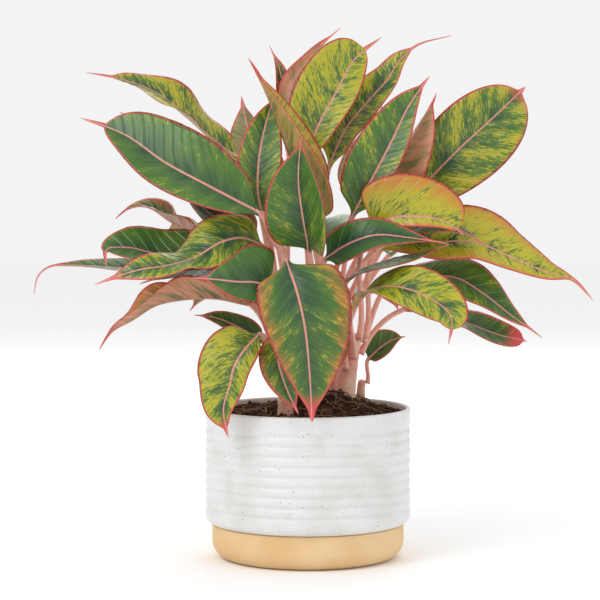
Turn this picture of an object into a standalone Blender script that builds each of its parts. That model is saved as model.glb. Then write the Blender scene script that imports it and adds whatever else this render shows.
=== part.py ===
"""Potted Chinese evergreen: a leafy plant on five canes, in a ribbed white pot on a clay saucer.

Metres, +Z up. The origin is on the pot's axis, on the flat face that the saucer stands on.
"""
from dataclasses import dataclass
from math import cos, pi, radians, sin

import bmesh
import bpy
import numpy as np

MM = 0.001
GAP = 0.3 * MM

# Saucer: a shallow clay dish that the pot's foot stands in
SAUCER_RADIUS = 82 * MM
SAUCER_HEIGHT = 29.7 * MM
SAUCER_CORNER = 15 * MM
SAUCER_WALL = 5 * MM
SAUCER_FLOOR = 6 * MM

# Pot: a glazed shell with a narrower foot and a drain hole
POT_RADIUS = 87.5 * MM
POT_HEIGHT = 128.7 * MM
POT_WALL = 4 * MM
POT_FLOOR = 7 * MM
POT_CORNER = 7 * MM
FOOT_RADIUS = 75 * MM
DRAIN_RADIUS = 9 * MM
RIB_COUNT = 10
RIB_PITCH = 8.5 * MM
RIB_DEPTH = 0.9 * MM
RIB_START = 10 * MM
TURNED_STEPS = 28

# Soil: level at the wall, mounded round the canes
SOIL_EDGE_HEIGHT = 124.4 * MM
MOUND_RADIUS = 68 * MM
MOUND_HEIGHT = 17 * MM
MOUND_CENTRE = (13 * MM, 8 * MM)
ROOTED_DEPTH = 40 * MM

SOCKET_CLEARANCE = 1 * MM
SOIL_RINGS = 5
SOIL_STEPS = 24

CANE_SIDES = 10
STALK_SIDES = 8
STALK_RINGS = 3
BLADE_RINGS = 9
BLADE_THICKNESS = 1.0 * MM
KEEL_THICKNESS = 1.7 * MM
STALK_HANDLE = 0.34
STALK_RISE = 2.2


@dataclass(frozen=True)
class Cane:
    """An upright stem: its path in millimetres from the soil up, and its radii at foot and top."""

    path: tuple
    radii: tuple


@dataclass(frozen=True)
class Leaf:
    """A leaf with its own stalk, in millimetres and degrees.

    cane: the cane that carries it. node: how high its stalk starts. side: compass side of the
    cane that it starts on (0 is +X, 90 is +Y). midrib: points along the blade from its base.
    half: greatest half widths on the two sides. facing: where the upper face looks, at even
    steps along the blade. fold: how far the halves lift. curl: how far they bend on to the
    margin. wave: ripples, their share of the half width, and their phase. outline: roundness at
    the base, roundness at the tip, and the share that the drip tip takes.
    """

    name: str
    cane: str
    node: float
    side: float
    midrib: tuple
    half: tuple
    facing: tuple
    fold: float = 10
    curl: float = 6
    wave: tuple = (1.5, 0.06, 0.0)
    outline: tuple = (0.6, 1.0, 0.08)
    stalk: float = 2.3


CANES = {
    "left": Cane(((-19, -36, 128), (-18, -34, 155), (-14, -29, 184)), (6.8, 5.5)),
    "middle": Cane(((3, -6, 138), (4, -6, 186), (5, -8, 227)), (8.0, 6.5)),
    "right": Cane(((33, 18, 140), (36, 18, 167), (40, 12, 190)), (8.5, 7.0)),
    "back": Cane(((-12, 46, 134), (-12, 46, 182), (-13, 45, 217)), (7.0, 6.0)),
    "far": Cane(((21, 56, 134), (23, 56, 181), (26, 56, 217)), (7.0, 6.0)),
    "offset": Cane(((47, 62, 130), (47, 61, 138), (48, 60, 146)), (4.0, 3.4)),
}

LEAVES = (
    # Left side, from the top down
    Leaf("leaf_upper_left", "middle", 196, 200,
         ((-38, -52, 294), (-60, -52, 306), (-85, -50, 319), (-119, -40, 337), (-153, -26, 360), (-193, -6, 375)),
         (24, 36), ((0, -1, 0.3), (0, -1, 0.35), (0, -1, 0.5)),
         8, 10, (1.2, 0.05, 0), (0.75, 0.65, 0.14), 3.2),
    Leaf("leaf_top_left_wavy", "back", 205, 180,
         ((-59, 44, 339), (-85, 44, 360), (-109, 40, 381), (-132, 36, 398), (-158, 34, 408), (-191, 34, 415)),
         (24, 24), ((0.3, -0.45, 0.85), (0.2, -0.4, 0.9), (0, -0.75, 0.65)),
         16, 10, (2.3, 0.20, 0.6), (0.7, 0.8, 0.14)),
    Leaf("leaf_top_left_inner", "back", 196, 215,
         ((-43, 12, 299), (-79, 4, 336), (-118, 2, 363), (-160, 8, 380)),
         (24, 24), ((0, -0.35, 0.93), (0, -0.3, 0.95)),
         10, 6, (1.5, 0.06, 0), (0.8, 0.8, 0.1)),
    Leaf("leaf_upright_left", "middle", 214, 250,
         ((-38, -34, 291), (-42, -36, 314), (-41, -32, 341), (-36, -22, 368), (-28, -6, 396)),
         (19, 20), ((0.1, -1, 0.1), (0.15, -1, 0.2)),
         14, 12, (1, 0.04, 0), (0.7, 0.9, 0.08)),
    Leaf("leaf_left_red", "back", 186, 240,
         ((-43, 16, 266), (-67, 12, 281), (-92, 12, 300), (-110, 14, 316)),
         (30, 28), ((0, -0.6, 0.8), (0.2, -0.6, 0.8)), 16, 8),
    Leaf("leaf_left_pink_hook", "back", 178, 200,
         ((-72, 50, 259), (-96, 46, 273), (-118, 40, 286), (-139, 36, 299), (-154, 34, 298), (-167, 34, 289)),
         (22, 22), ((0, -0.1, 1), (0.3, -0.25, 0.95)), 24, -6, (2, 0.22, 0)),
    Leaf("leaf_left_green", "left", 176, 140,
         ((-66, 0, 250), (-92, 0, 258), (-126, -2, 259), (-153, -6, 265), (-171, -8, 263), (-171, -10, 249)),
         (22, 28), ((0, -0.65, 0.75), (0, -0.7, 0.7)), 8, 6, (1.5, 0.06, 0), (0.6, 0.6, 0.1)),
    Leaf("leaf_far_left", "back", 168, 225,
         ((-78, 28, 239), (-119, 24, 243), (-166, 22, 247), (-203, 20, 249), (-222, 18, 248),
          (-232, 16, 240), (-236, 16, 224)),
         (18, 18), ((0, -0.45, 0.9), (0, -0.3, 0.95)), 10, 4, (1.5, 0.06, 0), (0.6, 1, 0.18)),
    Leaf("leaf_left_twisted", "left", 180, 185,
         ((-37, -30, 266), (-54, -36, 274), (-72, -44, 271), (-93, -50, 259), (-116, -56, 252),
          (-141, -58, 248), (-177, -54, 236)),
         (22, 26), ((0.2, -0.8, 0.5), (0.2, -0.8, 0.6), (0.1, -0.3, 0.95), (0, -0.85, 0.5), (0, -0.8, 0.6)),
         8, -12, (1.5, 0.06, 0), (0.45, 0.9, 0.1)),
    Leaf("leaf_left_shaded", "left", 168, 165,
         ((-45, -18, 238), (-74, -26, 247), (-107, -32, 245), (-141, -36, 236)),
         (22, 20), ((0, -0.5, 0.85), (0, -0.4, 0.9)), 8, 6),
    Leaf("leaf_lower_left_peach", "left", 164, 205,
         ((-49, -22, 218), (-77, -26, 224), (-106, -30, 223), (-128, -34, 218), (-147, -36, 206),
          (-164, -38, 196), (-175, -38, 181)),
         (26, 24), ((0, 0.1, 1), (0, -0.1, 1)), 34, 6, (2.2, 0.20, 0)),
    Leaf("leaf_lower_left_small", "left", 157, 225,
         ((-37, -41, 187), (-57, -40, 199), (-76, -40, 207), (-95, -40, 210)),
         (16, 14), ((0.3, -0.6, 0.7), (0.2, -0.6, 0.8)), 8, 6),
    Leaf("leaf_drooping_left", "left", 146, 250,
         ((-40, -74, 196), (-50, -84, 187), (-60, -92, 172), (-64, -94, 156), (-69, -94, 136), (-65, -92, 113)),
         (14, 30), ((-0.2, -0.9, 0.3), (-0.1, -1, 0.1), (0.1, -1, 0)),
         10, -14, (1.5, 0.06, 0), (0.5, 0.8, 0.08)),
    Leaf("leaf_front_left_teal", "left", 170, 240,
         ((-30, -57, 232), (-42, -64, 238), (-58, -68, 239), (-78, -67, 241), (-96, -62, 242)),
         (21, 33), ((0, -0.85, 0.5), (0, -0.9, 0.45)), 6, 4, (1.5, 0.06, 0), (0.4, 1, 0.16)),
    Leaf("leaf_front_hanging", "left", 180, 290,
         ((-18, -82, 256), (-10, -98, 235), (-3, -106, 205), (1, -106, 166), (3, -100, 126)),
         (41, 34), ((0, -0.8, 0.6), (0.05, -1, 0.05), (0, -1, 0)),
         6, -8, (1, 0.03, 0), (0.42, 0.95, 0.06), 3.0),
    Leaf("leaf_front_hanging_behind", "left", 163, 300,
         ((-24, -66, 195), (-25, -76, 177), (-19, -80, 155), (-8, -82, 131)),
         (18, 16), ((0, -1, 0.2), (0, -1, 0)), 6, 4),
    # Upright leaves of the crown
    Leaf("leaf_centre_folded", "middle", 221, 300,
         ((3, -24, 279), (-4, -30, 314), (-17, -28, 349), (-34, -20, 393), (-50, -6, 425)),
         (34, 36), ((0.95, 0.2, 0.3), (0.9, -0.15, 0.3), (0.75, -0.5, 0.3)),
         38, 8, (1, 0.05, 0), (0.6, 1.2, 0.1)),
    Leaf("leaf_centre_olive", "middle", 212, 275,
         ((1, -50, 263), (-4, -64, 290), (-8, -66, 322), (-6, -56, 357)),
         (32, 40), ((-0.5, -0.85, 0.1), (-0.45, -0.85, 0.15)),
         30, 8, (1, 0.04, 1), (0.6, 1.1, 0.06)),
    Leaf("leaf_top_lime", "middle", 224, 100,
         ((-2, 4, 339), (9, 6, 369), (24, 10, 397), (39, 14, 424), (64, 22, 445)),
         (35, 19), ((-0.1, -1, 0.1), (0, -1, 0.2), (0.3, -0.9, 0.1)),
         8, 8, (1, 0.05, 0), (0.6, 0.45, 0.16)),
    Leaf("leaf_top_twisted_tip", "far", 208, 200,
         ((18, 40, 332), (32, 38, 365), (52, 38, 390), (69, 40, 409), (80, 44, 426), (97, 48, 440), (125, 52, 448)),
         (20, 16), ((-0.4, -0.9, 0.1), (-0.3, -0.9, 0.1), (-0.5, -0.8, 0.2), (0.5, 0.3, 0.8)),
         14, 8, (1, 0.08, 0), (0.6, 0.8, 0.22)),
    Leaf("leaf_top_spike_left", "back", 213, 110,
         ((-15, 66, 357), (-20, 68, 392), (-25, 70, 419), (-34, 74, 441)),
         (10, 12), ((0.1, -1, 0.1), (0.3, -0.9, 0.2)), 22, 6, (1.5, 0.06, 0), (0.5, 1, 0.1)),
    Leaf("leaf_top_spike_right", "back", 209, 330,
         ((-19, 56, 381), (-14, 58, 406), (0, 62, 425), (14, 66, 442), (29, 72, 456)),
         (12, 10), ((-0.3, 0.8, 0.3), (-0.6, 0.6, 0.4)), 22, 6, (1.5, 0.06, 0), (0.5, 1, 0.12)),
    Leaf("leaf_upright_right", "middle", 210, 20,
         ((37, -16, 291), (52, -18, 320), (69, -14, 352), (86, -4, 386), (104, 6, 411)),
         (28, 17), ((-0.15, -1, 0.1), (-0.2, -1, 0.15)), 10, 8, (1, 0.04, 0), (0.6, 0.9, 0.08)),
    Leaf("leaf_upright_right_edge", "far", 196, 270,
         ((65, 8, 301), (80, 4, 339), (96, 8, 369), (110, 14, 396)),
         (26, 26), ((0.85, 0.5, 0.2), (0.8, 0.5, 0.3)), 24, 6, (1, 0.04, 0)),
    # Right side, from the top down
    Leaf("leaf_upper_right", "far", 202, 315,
         ((80, 30, 299), (102, 26, 320), (129, 20, 348), (158, 16, 375), (186, 14, 402)),
         (33, 37), ((0, -1, 0.1), (0, -1, 0.15)), 7, 6, (1, 0.03, 0), (0.75, 0.5, 0.05)),
    Leaf("leaf_right_small_lime", "far", 186, 0,
         ((81, 58, 283), (107, 56, 298), (123, 52, 306), (134, 50, 313)),
         (14, 14), ((0, -0.8, 0.5), (0, -0.8, 0.5)), 8, 4),
    Leaf("leaf_right_orange_short", "right", 186, 300,
         ((52, -34, 282), (69, -40, 291), (95, -46, 292), (116, -46, 287), (130, -40, 276)),
         (36, 10), ((0, -1, 0.2), (0, -1, 0.2), (0.3, -0.9, 0.2)),
         10, 6, (1, 0.06, 0), (0.28, 0.45, 0.10)),
    Leaf("leaf_right_dark_inner", "middle", 203, 345,
         ((69, -12, 272), (92, -22, 281), (113, -26, 284), (131, -28, 279), (150, -28, 267)),
         (14, 14), ((0, -0.4, 0.9), (0, -0.3, 0.9)), 10, -16),
    Leaf("leaf_right_dark_front", "middle", 186, 335,
         ((14, -42, 256), (30, -52, 268), (55, -57, 277), (82, -56, 275), (115, -52, 270)),
         (18, 18), ((-0.4, -0.9, 0.3), (-0.1, -0.8, 0.6), (0, -0.6, 0.8)),
         10, 8, (1, 0.04, 0), (0.5, 1.1, 0.1)),
    Leaf("leaf_right_long_orange", "right", 187, 350,
         ((58, 2, 261), (78, -4, 270), (112, -10, 270), (141, -13, 270), (172, -14, 257), (203, -12, 244),
          (224, -8, 238), (243, -4, 220)),
         (34, 20), ((0, -0.75, 0.65), (0, -0.75, 0.6), (0.1, -0.8, 0.6)),
         10, -10, (1.6, 0.12, 2), (0.7, 1, 0.12)),
    Leaf("leaf_right_grey_green", "right", 180, 250,
         ((27, -26, 235), (45, -38, 247), (68, -46, 255), (93, -46, 261), (117, -42, 269)),
         (14, 22), ((0, -0.25, 1), (0, -0.15, 1)), 8, -20, (1, 0.04, 0)),
    Leaf("leaf_right_olive", "right", 182, 10,
         ((74, 16, 236), (100, 12, 239), (126, 6, 239), (149, 2, 226), (172, 0, 208), (200, -2, 188)),
         (22, 18), ((0, -0.55, 0.8), (0.1, -0.8, 0.6), (0.3, -0.6, 0.6)),
         8, -6, (1.8, 0.13, 0.2), (0.6, 0.9, 0.1)),
    Leaf("leaf_right_lime_arching", "right", 170, 285,
         ((37, -38, 214), (50, -52, 231), (71, -66, 235), (95, -76, 228), (116, -80, 212), (115, -78, 188)),
         (24, 24), ((0, -0.05, 1), (0.1, -0.8, 0.6), (0.5, -0.8, 0.3)),
         10, 10, (1, 0.05, 0), (0.8, 0.5, 0.1)),
    Leaf("leaf_right_pink_tip", "right", 172, 20,
         ((84, 34, 210), (111, 34, 207), (139, 34, 198), (165, 34, 188), (191, 34, 182)),
         (16, 16), ((0, -0.45, 0.9), (0, -0.45, 0.9), (-0.1, -0.9, 0.4)),
         12, 4, (1.5, 0.06, 0), (0.5, 0.4, 0.04)),
    Leaf("leaf_lower_right_piece", "right", 160, 255,
         ((28, -30, 195), (24, -40, 185), (22, -44, 172), (19, -42, 159)),
         (12, 10), ((0, -1, 0.3), (0, -1, 0)), 6, 4),
    Leaf("leaf_lower_right_small", "offset", 143, 350,
         ((53, 58, 164), (64, 54, 175), (75, 52, 182), (86, 50, 185)),
         (15, 11), ((-0.3, -0.9, 0.3), (-0.1, -0.9, 0.4)), 16, 6, (1.5, 0.06, 0), (0.6, 0.8, 0.1), 1.8),
    # Back of the plant
    Leaf("leaf_rear_low_left", "back", 158, 130,
         ((-48, 92, 214), (-70, 112, 222), (-92, 128, 218), (-108, 138, 202)),
         (27, 27), ((-0.3, 0.4, 1), (-0.6, 0.6, 0.6)), 10, -8),
    Leaf("leaf_rear_low_middle", "back", 166, 95,
         ((-16, 92, 224), (-20, 114, 230), (-22, 136, 220), (-20, 150, 198)),
         (29, 28), ((0, 0.5, 1), (0, 0.9, 0.5)), 10, -8),
    Leaf("leaf_rear_low_right", "far", 158, 70,
         ((44, 98, 216), (58, 118, 224), (72, 134, 220), (84, 144, 202)),
         (27, 28), ((0.3, 0.5, 1), (0.5, 0.8, 0.5)), 10, -8),
    Leaf("leaf_rear_middle_left", "back", 176, 150,
         ((-62, 78, 258), (-84, 96, 272), (-108, 112, 278), (-134, 126, 270)),
         (28, 28), ((-0.3, 0.4, 1), (-0.4, 0.5, 0.8)), 12, 6),
    Leaf("leaf_rear_middle", "far", 170, 110,
         ((12, 104, 262), (14, 126, 280), (14, 146, 286), (12, 168, 276)),
         (28, 29), ((0, 0.5, 1), (0, 0.7, 0.8)), 12, 6),
    Leaf("leaf_rear_middle_right", "far", 182, 40,
         ((72, 88, 254), (94, 104, 268), (116, 116, 272), (142, 126, 262)),
         (28, 28), ((0.3, 0.4, 1), (0.4, 0.5, 0.8)), 12, 6),
    Leaf("leaf_rear_high_left", "back", 200, 110,
         ((-36, 88, 306), (-46, 104, 338), (-54, 118, 368), (-60, 128, 398)),
         (27, 27), ((-0.2, 0.9, 0.4), (-0.3, 0.8, 0.5)), 14, 8),
    Leaf("leaf_rear_high_right", "far", 204, 75,
         ((44, 96, 306), (54, 112, 336), (62, 126, 364), (68, 138, 390)),
         (27, 27), ((0.2, 0.9, 0.4), (0.3, 0.8, 0.5)), 14, 8),
)


def dye(name, colour, roughness):
    """A plain material in one colour."""
    material = bpy.data.materials.new(name)
    material.use_nodes = True
    shader = material.node_tree.nodes["Principled BSDF"]
    shader.inputs["Base Color"].default_value = (*colour, 1)
    shader.inputs["Roughness"].default_value = roughness
    shader.inputs["Metallic"].default_value = 0
    return material


def add_object(name, data, material, collection):
    """Put finished geometry in the scene as one named piece."""
    piece = bpy.data.objects.new(name, data)
    data.materials.append(material)
    collection.objects.link(piece)
    return piece


# ---------------------------------------------------------------- pot, saucer and soil

def turned(name, outline, closed, material, collection):
    """Turn a (radius, height) outline about the pot's axis; an open one starts and ends on it."""
    mesh = bpy.data.meshes.new(name)
    shape = bmesh.new()
    corners = [shape.verts.new((radius, 0, height)) for radius, height in outline]
    for start, end in zip(corners, corners[1:]):
        shape.edges.new((start, end))
    if closed:
        shape.edges.new((corners[-1], corners[0]))
    shape.to_mesh(mesh)
    shape.free()
    piece = add_object(name, mesh, material, collection)
    screw = piece.modifiers.new("turn", "SCREW")
    screw.steps = screw.render_steps = TURNED_STEPS
    screw.use_merge_vertices = True
    screw.merge_threshold = 0.00005
    screw.use_smooth_shade = True
    return piece


def arc(centre, radius, start, end, steps):
    """Points on an arc in the turning plane, angles in degrees."""
    angles = [radians(start + (end - start) * i / steps) for i in range(steps + 1)]
    return [(centre[0] + radius * cos(a), centre[1] + radius * sin(a)) for a in angles]


def saucer_outline():
    """Half section of the dish, from the middle of its floor over the rim to the underside."""
    inner = SAUCER_RADIUS - SAUCER_WALL
    corner = (SAUCER_RADIUS - SAUCER_CORNER, SAUCER_CORNER)
    inside = [
        (0, SAUCER_FLOOR),
        (inner - 4 * MM, SAUCER_FLOOR),
        (inner, SAUCER_FLOOR + 4 * MM),
        (inner, SAUCER_HEIGHT),
    ]
    rim = [(SAUCER_RADIUS - 1 * MM, SAUCER_HEIGHT), (SAUCER_RADIUS, SAUCER_HEIGHT - 1 * MM)]
    return inside + rim + arc(corner, SAUCER_CORNER, 0, -90, 5) + [(0, 0)]


def pot_outline():
    """Section of the pot's wall: down the ribbed outside, under the foot and up the inside."""
    ledge = SAUCER_HEIGHT + GAP
    rim = arc((POT_RADIUS - POT_WALL / 2, POT_HEIGHT - POT_WALL / 2), POT_WALL / 2, 150, 0, 3)
    ribs = []
    for i in range(RIB_COUNT):
        crest = POT_HEIGHT - RIB_START - i * RIB_PITCH
        ribs += [(POT_RADIUS - RIB_DEPTH, crest), (POT_RADIUS, crest - RIB_PITCH / 2)]
    corner = (POT_RADIUS - POT_CORNER, ledge + POT_CORNER)
    foot_bottom = SAUCER_FLOOR + GAP
    foot = [
        (FOOT_RADIUS, ledge),
        (FOOT_RADIUS, foot_bottom + 3 * MM),
        (FOOT_RADIUS - 3 * MM, foot_bottom),
        (DRAIN_RADIUS, foot_bottom),
        (DRAIN_RADIUS, foot_bottom + POT_FLOOR),
        (FOOT_RADIUS - POT_WALL, foot_bottom + POT_FLOOR),
        (FOOT_RADIUS - POT_WALL, ledge + POT_WALL),
        (POT_RADIUS - POT_WALL - POT_CORNER, ledge + POT_WALL),
        (POT_RADIUS - POT_WALL, ledge + POT_WALL + POT_CORNER),
    ]
    return rim + ribs + arc(corner, POT_CORNER, 0, -90, 3) + foot


def soil_height(x, y):
    """Height of the soil's surface at a place in plan."""
    distance = np.hypot(x - MOUND_CENTRE[0], y - MOUND_CENTRE[1]) / MOUND_RADIUS
    return SOIL_EDGE_HEIGHT + MOUND_HEIGHT * (1 + cos(pi * min(1, distance))) / 2


def soil_mesh():
    """The soil that fills the pot, with its mound, as one closed body."""
    floor = SAUCER_FLOOR + POT_FLOOR + 2 * GAP
    ledge = SAUCER_HEIGHT + POT_WALL + 2 * GAP
    wall = POT_RADIUS - POT_WALL - 2 * GAP
    narrow = FOOT_RADIUS - POT_WALL - 2 * GAP
    top = [(wall * i / SOIL_RINGS, SOIL_EDGE_HEIGHT) for i in range(SOIL_RINGS + 1)]
    sides = [
        (wall, ledge + POT_CORNER),
        (wall - POT_CORNER, ledge),
        (narrow, ledge),
        (narrow, floor),
        (0, floor),
    ]
    shape = bmesh.new()
    outline = [shape.verts.new((radius, 0, height)) for radius, height in top + sides]
    edges = [shape.edges.new(pair) for pair in zip(outline, outline[1:])]
    bmesh.ops.spin(
        shape, geom=outline + edges, cent=(0, 0, 0), axis=(0, 0, 1), dvec=(0, 0, 0),
        angle=2 * pi, steps=SOIL_STEPS, use_merge=True,
    )
    bmesh.ops.remove_doubles(shape, verts=shape.verts, dist=0.00005)
    for vert in shape.verts:
        if vert.co.z > SOIL_EDGE_HEIGHT - GAP:
            vert.co.z = soil_height(vert.co.x, vert.co.y)
    bmesh.ops.recalc_face_normals(shape, faces=shape.faces)
    mesh = bpy.data.meshes.new("soil")
    shape.to_mesh(mesh)
    shape.free()
    return mesh


def build_soil(material, collection, cutters):
    """Soil with a socket for each cane to stand in."""
    soil = add_object("soil", soil_mesh(), material, collection)
    for name, cane in CANES.items():
        x, y = (value * MM for value in cane.path[0][:2])
        surface = soil_height(x, y)
        depth = ROOTED_DEPTH + 2 * GAP
        bpy.ops.mesh.primitive_cylinder_add(
            vertices=CANE_SIDES,
            radius=cane.radii[0] * MM + SOCKET_CLEARANCE,
            depth=2 * depth,
            location=(x, y, surface),
        )
        cutter = bpy.context.object
        cutter.name = "socket_" + name
        cutter.hide_render = True
        cutter.display_type = "WIRE"
        for home in cutter.users_collection:
            home.objects.unlink(cutter)
        cutters.objects.link(cutter)
        socket = soil.modifiers.new("socket_" + name, "BOOLEAN")
        socket.operation = "DIFFERENCE"
        socket.object = cutter
    return soil


# ---------------------------------------------------------------- paths

def unit(vector):
    """The vector at length 1."""
    return vector / max(np.linalg.norm(vector), 1e-9)


def smooth_path(points, steps=16):
    """A dense centripetal Catmull-Rom curve through the points."""
    knots = np.array(points, float)
    knots = np.vstack([2 * knots[0] - knots[1], knots, 2 * knots[-1] - knots[-2]])
    times = np.concatenate([[0], np.cumsum(np.sqrt(np.linalg.norm(np.diff(knots, axis=0), axis=1)))])
    curve = []
    for i in range(1, len(knots) - 2):
        p0, p1, p2, p3 = knots[i - 1:i + 3]
        t0, t1, t2, t3 = times[i - 1:i + 3]
        for t in np.linspace(t1, t2, steps, endpoint=False):
            a1 = (t1 - t) / (t1 - t0) * p0 + (t - t0) / (t1 - t0) * p1
            a2 = (t2 - t) / (t2 - t1) * p1 + (t - t1) / (t2 - t1) * p2
            a3 = (t3 - t) / (t3 - t2) * p2 + (t - t2) / (t3 - t2) * p3
            b1 = (t2 - t) / (t2 - t0) * a1 + (t - t0) / (t2 - t0) * a2
            b2 = (t3 - t) / (t3 - t1) * a2 + (t - t1) / (t3 - t1) * a3
            curve.append((t2 - t) / (t2 - t1) * b1 + (t - t1) / (t2 - t1) * b2)
    curve.append(knots[-2])
    return np.array(curve)


def at_shares(curve, shares):
    """Points at shares of a curve's length."""
    lengths = np.concatenate([[0], np.cumsum(np.linalg.norm(np.diff(curve, axis=0), axis=1))])
    wanted = np.array(shares) * lengths[-1]
    return np.stack([np.interp(wanted, lengths, curve[:, i]) for i in range(3)], axis=1)


def cane_axis(name):
    """The cane's middle line from the bottom of its socket up, and its radius along it."""
    cane = CANES[name]
    points = np.array(cane.path) * MM
    x, y = points[0][:2]
    surface = soil_height(x, y)
    points[0][2] = surface + 3 * MM
    buried = [(x, y, surface - ROOTED_DEPTH), (x, y, surface - ROOTED_DEPTH / 2)]
    curve = smooth_path(np.vstack([buried, points]), 4)
    foot, top = (radius * MM for radius in cane.radii)
    radii = np.interp(curve[:, 2], [surface, points[-1][2]], [foot, top])
    return curve, radii


def stalk_path(leaf):
    """The leaf stalk's middle line, from the cane to the blade's base."""
    curve, radii = cane_axis(leaf.cane)
    height = leaf.node * MM
    middle = np.array([np.interp(height, curve[:, 2], curve[:, i]) for i in range(3)])
    out = np.array([cos(radians(leaf.side)), sin(radians(leaf.side)), 0])
    reach = np.interp(height, curve[:, 2], radii) + leaf.stalk * MM + 2 * GAP
    foot = middle + out * reach
    blade = np.array(leaf.midrib) * MM
    base = blade[0]
    span = base - foot
    handle = STALK_HANDLE * np.linalg.norm(span)
    leaving = foot + handle * unit(STALK_RISE * np.array([0, 0, 1]) + out)
    arriving = base - handle * unit(unit(blade[1] - base) + unit(span))
    t = np.linspace(0, 1, 17)[:, None]
    return (
        (1 - t) ** 3 * foot + 3 * (1 - t) ** 2 * t * leaving
        + 3 * (1 - t) * t ** 2 * arriving + t ** 3 * base
    )


# ---------------------------------------------------------------- leaves and canes

def width_share(outline, t):
    """Half width along the blade, as a share of the greatest: a body that ends in a drip tip."""
    base_power, tip_power, drip = outline
    widest = base_power / (base_power + tip_power)
    u = min(max(t / (1 - drip), 1e-6), 1)
    body = (u / widest) ** base_power * ((1 - u) / (1 - widest)) ** tip_power
    tail = 0.075 * min((1 - t) / max(drip, 0.03), 1) ** 0.8 * min(t / 0.3, 1)
    return (body ** 2.5 + tail ** 2.5) ** 0.4


def blade_offset(leaf, v, t):
    """Sideways and upward offset of the blade's surface from its midrib, in metres.

    v runs from -1 to 1 across the blade and t from 0 to 1 along it.
    """
    fold = radians(leaf.fold)
    curl = radians(leaf.curl)
    half = width_share(leaf.outline, t) * leaf.half[1 if v > 0 else 0] * MM
    sideways = (sin(fold + curl * abs(v)) - sin(fold)) / curl
    upward = (cos(fold) - cos(fold + curl * abs(v))) / curl
    ripples, size, phase = leaf.wave
    turn = 2 * pi * ripples * t + phase + (0 if v > 0 else 2.1)
    upward += size * sin(turn) * v * v * sin(pi * t) ** 0.7
    return (half * sideways if v > 0 else -half * sideways), half * upward


def leaf_frames(leaf):
    """Middle line, along, across and facing directions of stalk and blade, ring by ring."""
    stalk = at_shares(stalk_path(leaf), np.linspace(0, 1, STALK_RINGS + 1)[:-1])
    shares = np.linspace(0, 1, BLADE_RINGS)
    blade = at_shares(smooth_path(np.array(leaf.midrib) * MM), shares)
    line = np.vstack([stalk, blade])
    along = np.array([unit(step) for step in np.gradient(line, axis=0)])
    steps = np.linspace(0, 1, len(leaf.facing))
    looks = np.stack([np.interp(shares, steps, [f[i] for f in leaf.facing]) for i in range(3)], axis=1)
    facing = np.zeros_like(line)
    for i in range(BLADE_RINGS):
        tangent = along[STALK_RINGS + i]
        facing[STALK_RINGS + i] = unit(looks[i] - (looks[i] @ tangent) * tangent)
    for i in reversed(range(STALK_RINGS)):
        facing[i] = unit(facing[i + 1] - (facing[i + 1] @ along[i]) * along[i])
    return line, along, np.cross(along, facing), facing


def leaf_ring_point(leaf, slot, ring):
    """Offset (sideways, upward) of one corner of the cross-section at one ring."""
    angle = 2 * pi * slot / STALK_SIDES
    stalk = leaf.stalk * MM
    t = max(ring - STALK_RINGS, 0) / (BLADE_RINGS - 1)
    slimming = 1 - 0.8 * t
    round_share = max(0, 1 - t / 0.12)
    circle = stalk * cos(angle) * slimming, stalk * sin(angle) * slimming
    if round_share == 1:
        return circle
    v = (1, 0.5, 0, -0.5, -1, -0.5, 0, 0.5)[slot]
    sideways, upward = blade_offset(leaf, v, t)
    tip_share = max(1 - t, 0.25)
    if slot == 6:
        upward -= KEEL_THICKNESS * tip_share
    elif slot in (1, 2, 3):
        upward += BLADE_THICKNESS / 2 * tip_share ** 0.5
    elif slot in (5, 7):
        upward -= BLADE_THICKNESS / 2 * tip_share ** 0.5
    if t == 1:
        sideways += 0.3 * MM * v
    return (
        round_share * circle[0] + (1 - round_share) * sideways,
        round_share * circle[1] + (1 - round_share) * upward,
    )


def leaf_mesh(leaf):
    """Stalk and blade as one closed loft, shaped from a tall cylinder."""
    rings = STALK_RINGS + BLADE_RINGS
    line, _, across, facing = leaf_frames(leaf)
    shape = bmesh.new()
    bmesh.ops.create_cone(
        shape, cap_ends=True, segments=STALK_SIDES, radius1=1, radius2=1, depth=rings - 1,
    )
    uprights = [edge for edge in shape.edges if abs(edge.verts[0].co.z - edge.verts[1].co.z) > 0.5]
    bmesh.ops.subdivide_edges(shape, edges=uprights, cuts=rings - 2, use_grid_fill=True)
    # The same diagonals above and below keep the thin blade's two faces apart
    for face in [face for face in shape.faces if len(face.verts) == 4]:
        corners = sorted(face.verts, key=lambda vert: (round(vert.co.z, 3), -round(vert.co.x, 3)))
        bmesh.utils.face_split(face, corners[0], corners[3])
    for vert in shape.verts:
        ring = round(vert.co.z + (rings - 1) / 2)
        slot = round(np.arctan2(vert.co.y, vert.co.x) / (2 * pi) * STALK_SIDES) % STALK_SIDES
        sideways, upward = leaf_ring_point(leaf, slot, ring)
        vert.co = line[ring] + across[ring] * sideways + facing[ring] * upward
    bmesh.ops.reverse_faces(shape, faces=shape.faces)
    mesh = bpy.data.meshes.new(leaf.name)
    shape.to_mesh(mesh)
    shape.free()
    mesh.shade_smooth()
    return mesh


def build_cane(name, material, collection):
    """A tapering upright stem."""
    path, radii = cane_axis(name)
    curve = bpy.data.curves.new("cane_" + name, "CURVE")
    curve.dimensions = "3D"
    curve.bevel_depth = float(radii[0])
    curve.bevel_resolution = 3
    curve.use_fill_caps = True
    spline = curve.splines.new("POLY")
    spline.points.add(len(path) - 1)
    for point, place, radius in zip(spline.points, path, radii):
        point.co = (*place, 1)
        point.radius = float(radius / radii[0])
    return add_object("cane_" + name, curve, material, collection)


def clear_scene():
    """Remove whatever the scene holds."""
    for item in list(bpy.data.objects):
        bpy.data.objects.remove(item)


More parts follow.
